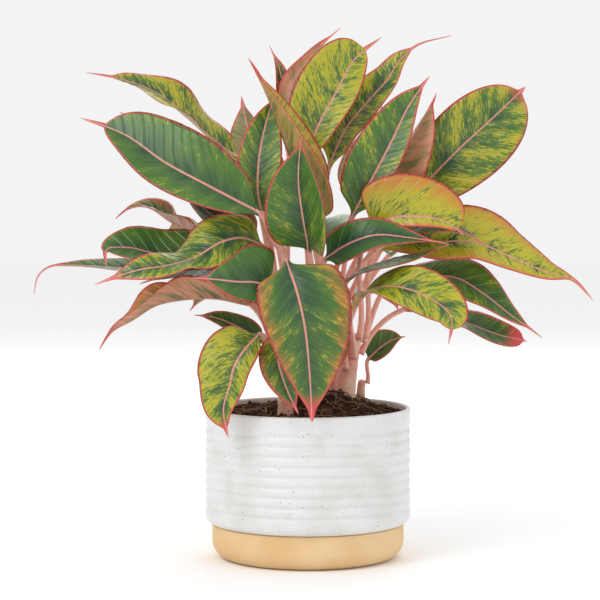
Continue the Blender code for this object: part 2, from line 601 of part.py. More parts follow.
def main():
    """Build the plant, its pot and its saucer."""
    clear_scene()
    collection = bpy.data.collections.new("potted_chinese_evergreen")
    cutters = bpy.data.collections.new("cutters")
    for group in (collection, cutters):
        bpy.context.scene.collection.children.link(group)
    clay = dye("clay", (0.70, 0.42, 0.17), 0.8)
    glaze = dye("white_glaze", (0.80, 0.80, 0.79), 0.35)
    earth = dye("soil", (0.05, 0.03, 0.02), 0.95)
    bark = dye("cane", (0.70, 0.33, 0.25), 0.55)
    green = dye("leaf", (0.10, 0.25, 0.06), 0.4)
    turned("saucer", saucer_outline(), False, clay, collection)
    turned("pot", pot_outline(), True, glaze, collection)
    build_soil(earth, collection, cutters)
    for name in CANES:
        build_cane(name, bark, collection)
    for leaf in LEAVES:
        add_object(leaf.name, leaf_mesh(leaf), green, collection)


main()
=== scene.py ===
"""Looks of the potted Chinese evergreen: leaves, canes, soil, ribbed pot and clay saucer.

Each piece takes the place of the plain solid of the same name. Lengths are in metres unless a
field says millimetres, +Z is up and +Y is the back of the plant.
"""
import logging
import random
from dataclasses import dataclass
from enum import Enum
from math import cos, exp, pi, radians, sin, tau
from typing import Sequence

import bmesh
import bpy
import numpy as np
from mathutils import Matrix, Vector, noise

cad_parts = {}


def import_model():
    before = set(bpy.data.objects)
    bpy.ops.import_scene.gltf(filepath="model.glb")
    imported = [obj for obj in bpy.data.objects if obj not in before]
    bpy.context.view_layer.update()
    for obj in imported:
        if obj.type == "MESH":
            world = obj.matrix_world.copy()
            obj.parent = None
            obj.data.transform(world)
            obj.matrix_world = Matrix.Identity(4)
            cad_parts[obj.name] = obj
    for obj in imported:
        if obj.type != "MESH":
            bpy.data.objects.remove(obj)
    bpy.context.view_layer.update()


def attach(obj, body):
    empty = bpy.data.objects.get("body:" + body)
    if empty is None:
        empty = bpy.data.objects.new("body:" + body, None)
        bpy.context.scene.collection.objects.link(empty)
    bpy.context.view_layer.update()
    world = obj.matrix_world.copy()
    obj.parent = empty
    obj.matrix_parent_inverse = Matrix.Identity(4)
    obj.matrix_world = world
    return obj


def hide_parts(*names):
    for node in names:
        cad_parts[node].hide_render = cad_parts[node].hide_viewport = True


log = logging.getLogger("evergreen")

MM = 0.001
ROOT = "root"
VEIN_PITCH = 11 * MM
VEIN_SLANT = 0.85
Point = tuple[float, float, float]
Colour = tuple[float, float, float]


class Slot(Enum):
    """The record's material slots."""

    LEAF = "leaf"
    CANE = "cane"
    SOIL = "soil"
    GLAZE = "white_glaze"
    CLAY = "clay"


@dataclass(frozen=True)
class CaneShape:
    """An upright stem: its path in millimetres from the soil up, and its radii at foot and top."""

    path: tuple
    radii: tuple


@dataclass(frozen=True)
class Tone:
    """How one leaf is coloured, each value from 0 to 1.

    yellow: how much mottling covers the green. blush: how far orange spreads from the margin.
    pink: how pink the underside is. red_tip: how much of the tip is red. light: how pale the
    green is. On leaves that sit in shade, low light and yellow values paint that shade.
    """

    yellow: float = 0.45
    blush: float = 0.3
    pink: float = 0.3
    red_tip: float = 0.3
    light: float = 0.4


@dataclass(frozen=True)
class LeafShape:
    """A leaf and its stalk, in millimetres and degrees.

    cane: the cane that carries it. node: how high its stalk starts. side: compass side of the
    cane that it starts on (0 is +X, 90 is +Y). midrib: points along the blade from its base.
    half: greatest half widths on the two sides. facing: where the upper face looks, at even
    steps along the blade. fold: how far the halves lift. curl: how far they bend on to the
    margin. wave: ripples, their share of the half width, and their phase. outline: roundness at
    the base, roundness at the tip, and the share that the drip tip takes.
    """

    name: str
    cane: str
    node: float
    side: float
    midrib: tuple
    half: tuple
    facing: tuple
    fold: float = 10
    curl: float = 6
    wave: tuple = (1.5, 0.06, 0.0)
    outline: tuple = (0.6, 1.0, 0.08)
    stalk: float = 2.3


CANES: dict[str, "CaneShape"] = {
    "left": CaneShape(((-19, -36, 128), (-18, -34, 155), (-14, -29, 184)), (6.8, 5.5)),
    "middle": CaneShape(((3, -6, 138), (4, -6, 186), (5, -8, 227)), (8.0, 6.5)),
    "right": CaneShape(((33, 18, 140), (36, 18, 167), (40, 12, 190)), (8.5, 7.0)),
    "back": CaneShape(((-12, 46, 134), (-12, 46, 182), (-13, 45, 217)), (7.0, 6.0)),
    "far": CaneShape(((21, 56, 134), (23, 56, 181), (26, 56, 217)), (7.0, 6.0)),
    "offset": CaneShape(((47, 62, 130), (47, 61, 138), (48, 60, 146)), (4.0, 3.4)),
}

LEAVES: tuple["LeafShape", ...] = (
    # Left side, from the top down
    LeafShape("leaf_upper_left", "middle", 196, 200,
         ((-38, -52, 294), (-60, -52, 306), (-85, -50, 319), (-119, -40, 337), (-153, -26, 360),
          (-193, -6, 375)),
         (24, 36), ((0, -1, 0.3), (0, -1, 0.35), (0, -1, 0.5)),
         8, 10, (1.2, 0.05, 0), (0.75, 0.65, 0.14), 3.2),
    LeafShape("leaf_top_left_wavy", "back", 205, 180,
         ((-59, 44, 339), (-85, 44, 360), (-109, 40, 381), (-132, 36, 398), (-158, 34, 408), (-191, 34, 415)),
         (24, 24), ((0.3, -0.45, 0.85), (0.2, -0.4, 0.9), (0, -0.75, 0.65)),
         16, 10, (2.3, 0.20, 0.6), (0.7, 0.8, 0.14)),
    LeafShape("leaf_top_left_inner", "back", 196, 215,
         ((-43, 12, 299), (-79, 4, 336), (-118, 2, 363), (-160, 8, 380)),
         (24, 24), ((0, -0.35, 0.93), (0, -0.3, 0.95)),
         10, 6, (1.5, 0.06, 0), (0.8, 0.8, 0.1)),
    LeafShape("leaf_upright_left", "middle", 214, 250,
         ((-38, -34, 291), (-42, -36, 314), (-41, -32, 341), (-36, -22, 368), (-28, -6, 396)),
         (19, 20), ((0.1, -1, 0.1), (0.15, -1, 0.2)),
         14, 12, (1, 0.04, 0), (0.7, 0.9, 0.08)),
    LeafShape("leaf_left_red", "back", 186, 240,
         ((-43, 16, 266), (-67, 12, 281), (-92, 12, 300), (-110, 14, 316)),
         (30, 28), ((0, -0.6, 0.8), (0.2, -0.6, 0.8)), 16, 8),
    LeafShape("leaf_left_pink_hook", "back", 178, 200,
         ((-72, 50, 259), (-96, 46, 273), (-118, 40, 286), (-139, 36, 299), (-154, 34, 298), (-167, 34, 289)),
         (22, 22), ((0, -0.1, 1), (0.3, -0.25, 0.95)), 24, -6, (2, 0.22, 0)),
    LeafShape("leaf_left_green", "left", 176, 140,
         ((-66, 0, 250), (-92, 0, 258), (-126, -2, 259), (-153, -6, 265), (-171, -8, 263), (-171, -10, 249)),
         (22, 28), ((0, -0.65, 0.75), (0, -0.7, 0.7)), 8, 6, (1.5, 0.06, 0), (0.6, 0.6, 0.1)),
    LeafShape("leaf_far_left", "back", 168, 225,
         ((-78, 28, 239), (-119, 24, 243), (-166, 22, 247), (-203, 20, 249), (-222, 18, 248),
          (-232, 16, 240), (-236, 16, 224)),
         (18, 18), ((0, -0.45, 0.9), (0, -0.3, 0.95)), 10, 4, (1.5, 0.06, 0), (0.6, 1, 0.18)),
    LeafShape("leaf_left_twisted", "left", 180, 185,
         ((-37, -30, 266), (-54, -36, 274), (-72, -44, 271), (-93, -50, 259), (-116, -56, 252),
          (-141, -58, 248), (-177, -54, 236)),
         (22, 26), ((0.2, -0.8, 0.5), (0.2, -0.8, 0.6), (0.1, -0.3, 0.95), (0, -0.85, 0.5), (0, -0.8, 0.6)),
         8, -12, (1.5, 0.06, 0), (0.45, 0.9, 0.1)),
    LeafShape("leaf_left_shaded", "left", 168, 165,
         ((-45, -18, 238), (-74, -26, 247), (-107, -32, 245), (-141, -36, 236)),
         (22, 20), ((0, -0.5, 0.85), (0, -0.4, 0.9)), 8, 6),
    LeafShape("leaf_lower_left_peach", "left", 164, 205,
         ((-49, -22, 218), (-77, -26, 224), (-106, -30, 223), (-128, -34, 218), (-147, -36, 206),
          (-164, -38, 196), (-175, -38, 181)),
         (26, 24), ((0, 0.1, 1), (0, -0.1, 1)), 34, 6, (2.2, 0.20, 0)),
    LeafShape("leaf_lower_left_small", "left", 157, 225,
         ((-37, -41, 187), (-57, -40, 199), (-76, -40, 207), (-95, -40, 210)),
         (16, 14), ((0.3, -0.6, 0.7), (0.2, -0.6, 0.8)), 8, 6),
    LeafShape("leaf_drooping_left", "left", 146, 250,
         ((-40, -74, 196), (-50, -84, 187), (-60, -92, 172), (-64, -94, 156), (-69, -94, 136),
          (-65, -92, 113)),
         (14, 30), ((-0.2, -0.9, 0.3), (-0.1, -1, 0.1), (0.1, -1, 0)),
         10, -14, (1.5, 0.06, 0), (0.5, 0.8, 0.08)),
    LeafShape("leaf_front_left_teal", "left", 170, 240,
         ((-30, -57, 232), (-42, -64, 238), (-58, -68, 239), (-78, -67, 241), (-96, -62, 242)),
         (21, 33), ((0, -0.85, 0.5), (0, -0.9, 0.45)), 6, 4, (1.5, 0.06, 0), (0.4, 1, 0.16)),
    LeafShape("leaf_front_hanging", "left", 180, 290,
         ((-18, -82, 256), (-10, -98, 235), (-3, -106, 205), (1, -106, 166), (3, -100, 126)),
         (41, 34), ((0, -0.8, 0.6), (0.05, -1, 0.05), (0, -1, 0)),
         6, -8, (1, 0.03, 0), (0.42, 0.95, 0.06), 3.0),
    LeafShape("leaf_front_hanging_behind", "left", 163, 300,
         ((-24, -66, 195), (-25, -76, 177), (-19, -80, 155), (-8, -82, 131)),
         (18, 16), ((0, -1, 0.2), (0, -1, 0)), 6, 4),
    # Upright leaves of the crown
    LeafShape("leaf_centre_folded", "middle", 221, 300,
         ((3, -24, 279), (-4, -30, 314), (-17, -28, 349), (-34, -20, 393), (-50, -6, 425)),
         (34, 36), ((0.95, 0.2, 0.3), (0.9, -0.15, 0.3), (0.75, -0.5, 0.3)),
         38, 8, (1, 0.05, 0), (0.6, 1.2, 0.1)),
    LeafShape("leaf_centre_olive", "middle", 212, 275,
         ((1, -50, 263), (-4, -64, 290), (-8, -66, 322), (-6, -56, 357)),
         (32, 40), ((-0.5, -0.85, 0.1), (-0.45, -0.85, 0.15)),
         30, 8, (1, 0.04, 1), (0.6, 1.1, 0.06)),
    LeafShape("leaf_top_lime", "middle", 224, 100,
         ((-2, 4, 339), (9, 6, 369), (24, 10, 397), (39, 14, 424), (64, 22, 445)),
         (35, 19), ((-0.1, -1, 0.1), (0, -1, 0.2), (0.3, -0.9, 0.1)),
         8, 8, (1, 0.05, 0), (0.6, 0.45, 0.16)),
    LeafShape("leaf_top_twisted_tip", "far", 208, 200,
         ((18, 40, 332), (32, 38, 365), (52, 38, 390), (69, 40, 409), (80, 44, 426), (97, 48, 440),
          (125, 52, 448)),
         (20, 16), ((-0.4, -0.9, 0.1), (-0.3, -0.9, 0.1), (-0.5, -0.8, 0.2), (0.5, 0.3, 0.8)),
         14, 8, (1, 0.08, 0), (0.6, 0.8, 0.22)),
    LeafShape("leaf_top_spike_left", "back", 213, 110,
         ((-15, 66, 357), (-20, 68, 392), (-25, 70, 419), (-34, 74, 441)),
         (10, 12), ((0.1, -1, 0.1), (0.3, -0.9, 0.2)), 22, 6, (1.5, 0.06, 0), (0.5, 1, 0.1)),
    LeafShape("leaf_top_spike_right", "back", 209, 330,
         ((-19, 56, 381), (-14, 58, 406), (0, 62, 425), (14, 66, 442), (29, 72, 456)),
         (12, 10), ((-0.3, 0.8, 0.3), (-0.6, 0.6, 0.4)), 22, 6, (1.5, 0.06, 0), (0.5, 1, 0.12)),
    LeafShape("leaf_upright_right", "middle", 210, 20,
         ((37, -16, 291), (52, -18, 320), (69, -14, 352), (86, -4, 386), (104, 6, 411)),
         (28, 17), ((-0.15, -1, 0.1), (-0.2, -1, 0.15)), 10, 8, (1, 0.04, 0), (0.6, 0.9, 0.08)),
    LeafShape("leaf_upright_right_edge", "far", 196, 270,
         ((65, 8, 301), (80, 4, 339), (96, 8, 369), (110, 14, 396)),
         (26, 26), ((0.85, 0.5, 0.2), (0.8, 0.5, 0.3)), 24, 6, (1, 0.04, 0)),
    # Right side, from the top down
    LeafShape("leaf_upper_right", "far", 202, 315,
         ((80, 30, 299), (102, 26, 320), (129, 20, 348), (158, 16, 375), (186, 14, 402)),
         (33, 37), ((0, -1, 0.1), (0, -1, 0.15)), 7, 6, (1, 0.03, 0), (0.75, 0.5, 0.05)),
    LeafShape("leaf_right_small_lime", "far", 186, 0,
         ((81, 58, 283), (107, 56, 298), (123, 52, 306), (134, 50, 313)),
         (14, 14), ((0, -0.8, 0.5), (0, -0.8, 0.5)), 8, 4),
    LeafShape("leaf_right_orange_short", "right", 186, 300,
         ((52, -34, 282), (69, -40, 291), (95, -46, 292), (116, -46, 287), (130, -40, 276)),
         (36, 10), ((0, -1, 0.2), (0, -1, 0.2), (0.3, -0.9, 0.2)),
         10, 6, (1, 0.06, 0), (0.28, 0.45, 0.10)),
    LeafShape("leaf_right_dark_inner", "middle", 203, 345,
         ((69, -12, 272), (92, -22, 281), (113, -26, 284), (131, -28, 279), (150, -28, 267)),
         (14, 14), ((0, -0.4, 0.9), (0, -0.3, 0.9)), 10, -16),
    LeafShape("leaf_right_dark_front", "middle", 186, 335,
         ((14, -42, 256), (30, -52, 268), (55, -57, 277), (82, -56, 275), (115, -52, 270)),
         (18, 18), ((-0.4, -0.9, 0.3), (-0.1, -0.8, 0.6), (0, -0.6, 0.8)),
         10, 8, (1, 0.04, 0), (0.5, 1.1, 0.1)),
    LeafShape("leaf_right_long_orange", "right", 187, 350,
         ((58, 2, 261), (78, -4, 270), (112, -10, 270), (141, -13, 270), (172, -14, 257), (203, -12, 244),
          (224, -8, 238), (243, -4, 220)),
         (34, 20), ((0, -0.75, 0.65), (0, -0.75, 0.6), (0.1, -0.8, 0.6)),
         10, -10, (1.6, 0.12, 2), (0.7, 1, 0.12)),
    LeafShape("leaf_right_grey_green", "right", 180, 250,
         ((27, -26, 235), (45, -38, 247), (68, -46, 255), (93, -46, 261), (117, -42, 269)),
         (14, 22), ((0, -0.25, 1), (0, -0.15, 1)), 8, -20, (1, 0.04, 0)),
    LeafShape("leaf_right_olive", "right", 182, 10,
         ((74, 16, 236), (100, 12, 239), (126, 6, 239), (149, 2, 226), (172, 0, 208), (200, -2, 188)),
         (22, 18), ((0, -0.55, 0.8), (0.1, -0.8, 0.6), (0.3, -0.6, 0.6)),
         8, -6, (1.8, 0.13, 0.2), (0.6, 0.9, 0.1)),
    LeafShape("leaf_right_lime_arching", "right", 170, 285,
         ((37, -38, 214), (50, -52, 231), (71, -66, 235), (95, -76, 228), (116, -80, 212), (115, -78, 188)),
         (24, 24), ((0, -0.05, 1), (0.1, -0.8, 0.6), (0.5, -0.8, 0.3)),
         10, 10, (1, 0.05, 0), (0.8, 0.5, 0.1)),
    LeafShape("leaf_right_pink_tip", "right", 172, 20,
         ((84, 34, 210), (111, 34, 207), (139, 34, 198), (165, 34, 188), (191, 34, 182)),
         (16, 16), ((0, -0.45, 0.9), (0, -0.45, 0.9), (-0.1, -0.9, 0.4)),
         12, 4, (1.5, 0.06, 0), (0.5, 0.4, 0.04)),
    LeafShape("leaf_lower_right_piece", "right", 160, 255,
         ((28, -30, 195), (24, -40, 185), (22, -44, 172), (19, -42, 159)),
         (12, 10), ((0, -1, 0.3), (0, -1, 0)), 6, 4),
    LeafShape("leaf_lower_right_small", "offset", 143, 350,
         ((53, 58, 164), (64, 54, 175), (75, 52, 182), (86, 50, 185)),
         (15, 11), ((-0.3, -0.9, 0.3), (-0.1, -0.9, 0.4)), 16, 6, (1.5, 0.06, 0), (0.6, 0.8, 0.1), 1.8),
    # Back of the plant
    LeafShape("leaf_rear_low_left", "back", 158, 130,
         ((-48, 92, 214), (-70, 112, 222), (-92, 128, 218), (-108, 138, 202)),
         (27, 27), ((-0.3, 0.4, 1), (-0.6, 0.6, 0.6)), 10, -8),
    LeafShape("leaf_rear_low_middle", "back", 166, 95,
         ((-16, 92, 224), (-20, 114, 230), (-22, 136, 220), (-20, 150, 198)),
         (29, 28), ((0, 0.5, 1), (0, 0.9, 0.5)), 10, -8),
    LeafShape("leaf_rear_low_right", "far", 158, 70,
         ((44, 98, 216), (58, 118, 224), (72, 134, 220), (84, 144, 202)),
         (27, 28), ((0.3, 0.5, 1), (0.5, 0.8, 0.5)), 10, -8),
    LeafShape("leaf_rear_middle_left", "back", 176, 150,
         ((-62, 78, 258), (-84, 96, 272), (-108, 112, 278), (-134, 126, 270)),
         (28, 28), ((-0.3, 0.4, 1), (-0.4, 0.5, 0.8)), 12, 6),
    LeafShape("leaf_rear_middle", "far", 170, 110,
         ((12, 104, 262), (14, 126, 280), (14, 146, 286), (12, 168, 276)),
         (28, 29), ((0, 0.5, 1), (0, 0.7, 0.8)), 12, 6),
    LeafShape("leaf_rear_middle_right", "far", 182, 40,
         ((72, 88, 254), (94, 104, 268), (116, 116, 272), (142, 126, 262)),
         (28, 28), ((0.3, 0.4, 1), (0.4, 0.5, 0.8)), 12, 6),
    LeafShape("leaf_rear_high_left", "back", 200, 110,
         ((-36, 88, 306), (-46, 104, 338), (-54, 118, 368), (-60, 128, 398)),
         (27, 27), ((-0.2, 0.9, 0.4), (-0.3, 0.8, 0.5)), 14, 8),
    LeafShape("leaf_rear_high_right", "far", 204, 75,
         ((44, 96, 306), (54, 112, 336), (62, 126, 364), (68, 138, 390)),
         (27, 27), ((0.2, 0.9, 0.4), (0.3, 0.8, 0.5)), 14, 8),
)


TONES: dict[str, Tone] = {
    "leaf_upper_left": Tone(0.35, 0.25, 0.2, 0.2, 0.35),
    "leaf_top_left_wavy": Tone(0.75, 0.45, 0.5, 0.4, 0.45),
    "leaf_top_left_inner": Tone(0.2, 0.2, 0.3, 0.3, 0.2),
    "leaf_upright_left": Tone(0.5, 0.3, 0.4, 0.3, 0.6),
    "leaf_left_red": Tone(0.35, 0.7, 0.7, 0.9, 0.1),
    "leaf_left_pink_hook": Tone(0.5, 0.9, 1.0, 0.9, 0.5),
    "leaf_left_green": Tone(0.3, 0.2, 0.3, 0.4, 0.4),
    "leaf_far_left": Tone(0.3, 0.3, 0.5, 0.4, 0.5),
    "leaf_left_twisted": Tone(0.65, 0.35, 0.4, 0.9, 0.5),
    # Painted shade: low yellow and light values darken this leaf for the shade it sits in.
    "leaf_left_shaded": Tone(0.1, 0.1, 0.2, 0.2, 0.1),
    "leaf_lower_left_peach": Tone(0.6, 0.9, 1.0, 0.9, 0.6),
    "leaf_lower_left_small": Tone(0.2, 0.2, 0.3, 0.2, 0.2),
    "leaf_drooping_left": Tone(0.7, 0.3, 0.3, 0.9, 0.6),
    "leaf_front_left_teal": Tone(0.1, 0.2, 0.2, 0.9, 0.25),
    "leaf_front_hanging": Tone(0.42, 0.6, 0.3, 0.9, 0.3),
    "leaf_front_hanging_behind": Tone(0.5, 0.6, 0.3, 0.9, 0.4),
    "leaf_centre_folded": Tone(0.85, 0.6, 0.5, 0.6, 0.4),
    "leaf_centre_olive": Tone(0.4, 0.2, 0.3, 0.4, 0.35),
    "leaf_top_lime": Tone(0.8, 0.2, 0.2, 0.3, 0.9),
    "leaf_top_twisted_tip": Tone(0.75, 0.4, 0.6, 0.6, 0.5),
    "leaf_top_spike_left": Tone(0.5, 0.8, 0.8, 0.7, 0.4),
    "leaf_top_spike_right": Tone(0.6, 0.9, 1.0, 0.5, 0.6),
    "leaf_upright_right": Tone(0.45, 0.3, 0.3, 0.4, 0.5),
    "leaf_upright_right_edge": Tone(0.6, 0.8, 0.9, 0.8, 0.4),
    "leaf_upper_right": Tone(0.65, 0.35, 0.3, 0.4, 0.6),
    "leaf_right_small_lime": Tone(0.8, 0.2, 0.2, 0.2, 0.9),
    "leaf_right_orange_short": Tone(1.0, 0.75, 0.4, 0.3, 0.5),
    "leaf_right_dark_inner": Tone(0.1, 0.1, 0.2, 0.2, 0.1),
    # Painted shade: low yellow and light values darken this leaf's upper face for the shade it lies in.
    "leaf_right_dark_front": Tone(0.05, 0.1, 0.2, 0.3, 0.05),
    "leaf_right_long_orange": Tone(0.95, 0.65, 0.4, 0.4, 0.5),
    # Painted shade: a low yellow value keeps this leaf's upper face dark for the shade it lies in.
    "leaf_right_grey_green": Tone(0.05, 0.1, 0.2, 0.2, 0.3),
    "leaf_right_olive": Tone(0.4, 0.3, 0.4, 0.7, 0.5),
    "leaf_right_lime_arching": Tone(0.8, 0.3, 0.6, 0.3, 0.9),
    "leaf_right_pink_tip": Tone(0.4, 0.6, 0.8, 1.0, 0.5),
    "leaf_lower_right_piece": Tone(0.4, 0.3, 0.3, 0.5, 0.5),
    "leaf_lower_right_small": Tone(0.1, 0.15, 0.3, 0.2, 0.45),
}


# ---------------------------------------------------------------- shader graphs

class Graph:
    """Builds one material's nodes, with short calls for the sums that it needs."""

    def __init__(self, name: str) -> None:
        """Start an empty material with a Principled shader.

        Args:
            name: The material's name.
        """
        self.material = bpy.data.materials.new(name)
        self.material.use_nodes = True
        self.tree = self.material.node_tree
        self.shader = self.tree.nodes["Principled BSDF"]

    def put(self, socket: bpy.types.NodeSocket, value: object) -> None:
        """Set a socket to a number or a colour, or link it to another socket.

        Args:
            socket: The socket to set.
            value: A number, a colour, or an output socket.
        """
        if isinstance(value, bpy.types.NodeSocket):
            self.tree.links.new(value, socket)
        elif isinstance(value, tuple) and len(value) == 3 and socket.type == "RGBA":
            socket.default_value = (*value, 1)
        else:
            socket.default_value = value

    def maths(self, operation: str, a: object, b: object = 0.0) -> bpy.types.NodeSocket:
        """One Math node.

        Args:
            operation: Blender's name for the sum.
            a: First value.
            b: Second value.

        Returns:
            The result's socket.
        """
        node = self.tree.nodes.new("ShaderNodeMath")
        node.operation = operation
        self.put(node.inputs[0], a)
        self.put(node.inputs[1], b)
        return node.outputs[0]

    def fade(self, value: object, low: float, high: float) -> bpy.types.NodeSocket:
        """Smooth step of a value.

        Args:
            value: The value.
            low: Where the result is 0. It may be the greater of the two.
            high: Where the result is 1.

        Returns:
            The result's socket.
        """
        node = self.tree.nodes.new("ShaderNodeMapRange")
        node.interpolation_type = "SMOOTHSTEP"
        self.put(node.inputs["Value"], value)
        flip = low > high
        node.inputs["From Min"].default_value = min(low, high)
        node.inputs["From Max"].default_value = max(low, high)
        node.inputs["To Min"].default_value = 1 if flip else 0
        node.inputs["To Max"].default_value = 0 if flip else 1
        return node.outputs["Result"]

    def mix(self, share: object, a: object, b: object) -> bpy.types.NodeSocket:
        """Mix two colours.

        Args:
            share: How much of the second colour, from 0 to 1.
            a: First colour.
            b: Second colour.

        Returns:
            The mixed colour's socket.
        """
        node = self.tree.nodes.new("ShaderNodeMix")
        node.data_type = "RGBA"
        self.put(node.inputs[0], share)
        self.put(node.inputs[6], a)
        self.put(node.inputs[7], b)
        return node.outputs[2]

    def attribute(self, name: str) -> list[bpy.types.NodeSocket]:
        """The three values of a vector attribute.

        Args:
            name: The attribute's name.

        Returns:
            One socket for each value.
        """
        node = self.tree.nodes.new("ShaderNodeAttribute")
        node.attribute_name = name
        split = self.tree.nodes.new("ShaderNodeSeparateXYZ")
        self.tree.links.new(node.outputs["Vector"], split.inputs[0])
        return list(split.outputs)

    def vector(self, x: object, y: object, z: object = 0.0) -> bpy.types.NodeSocket:
        """A vector from three values.

        Args:
            x: First value.
            y: Second value.
            z: Third value.

        Returns:
            The vector's socket.
        """
        node = self.tree.nodes.new("ShaderNodeCombineXYZ")
        for socket, value in zip(node.inputs, (x, y, z)):
            self.put(socket, value)
        return node.outputs[0]

    def place(self) -> bpy.types.NodeSocket:
        """Object coordinates.

        Returns:
            Their socket, in metres.
        """
        return self.tree.nodes.new("ShaderNodeTexCoord").outputs["Object"]

    def noise(
        self, where: object, scale: float, detail: float = 3, rough: float = 0.55,
    ) -> bpy.types.NodeSocket:
        """Noise value at a place.

        Args:
            where: The place.
            scale: Waves to a unit of it.
            detail: Octaves.
            rough: How strong each finer octave is.

        Returns:
            The value's socket.
        """
        node = self.tree.nodes.new("ShaderNodeTexNoise")
        self.put(node.inputs["Vector"], where)
        node.inputs["Scale"].default_value = scale
        node.inputs["Detail"].default_value = detail
        node.inputs["Roughness"].default_value = rough
        return node.outputs["Fac"]

    def cells(self, where: object, scale: float) -> tuple[bpy.types.NodeSocket, bpy.types.NodeSocket]:
        """Scattered cells.

        Args:
            where: The place.
            scale: Cells to a unit of it.

        Returns:
            Distance to the nearest cell's centre, and that cell's random colour.
        """
        node = self.tree.nodes.new("ShaderNodeTexVoronoi")
        self.put(node.inputs["Vector"], where)
        node.inputs["Scale"].default_value = scale
        return node.outputs["Distance"], node.outputs["Color"]

    def bump(self, height: object, distance: float, strength: float = 1.0) -> None:
        """Relief from a height value.

        Args:
            height: The value.
            distance: Metres that a value of 1 stands for.
            strength: Share of the relief that shows.
        """
        node = self.tree.nodes.new("ShaderNodeBump")
        node.inputs["Strength"].default_value = strength
        node.inputs["Distance"].default_value = distance
        self.put(node.inputs["Height"], height)
        self.put(self.shader.inputs["Normal"], node.outputs["Normal"])

    def surface(self, colour: object, roughness: object, specular: float = 0.5) -> bpy.types.Material:
        """Connect colour and roughness.

        Args:
            colour: Base colour.
            roughness: Roughness.
            specular: Specular level.

        Returns:
            The finished material.
        """
        self.put(self.shader.inputs["Base Color"], colour)
        self.put(self.shader.inputs["Roughness"], roughness)
        self.shader.inputs["Specular IOR Level"].default_value = specular
        return self.material


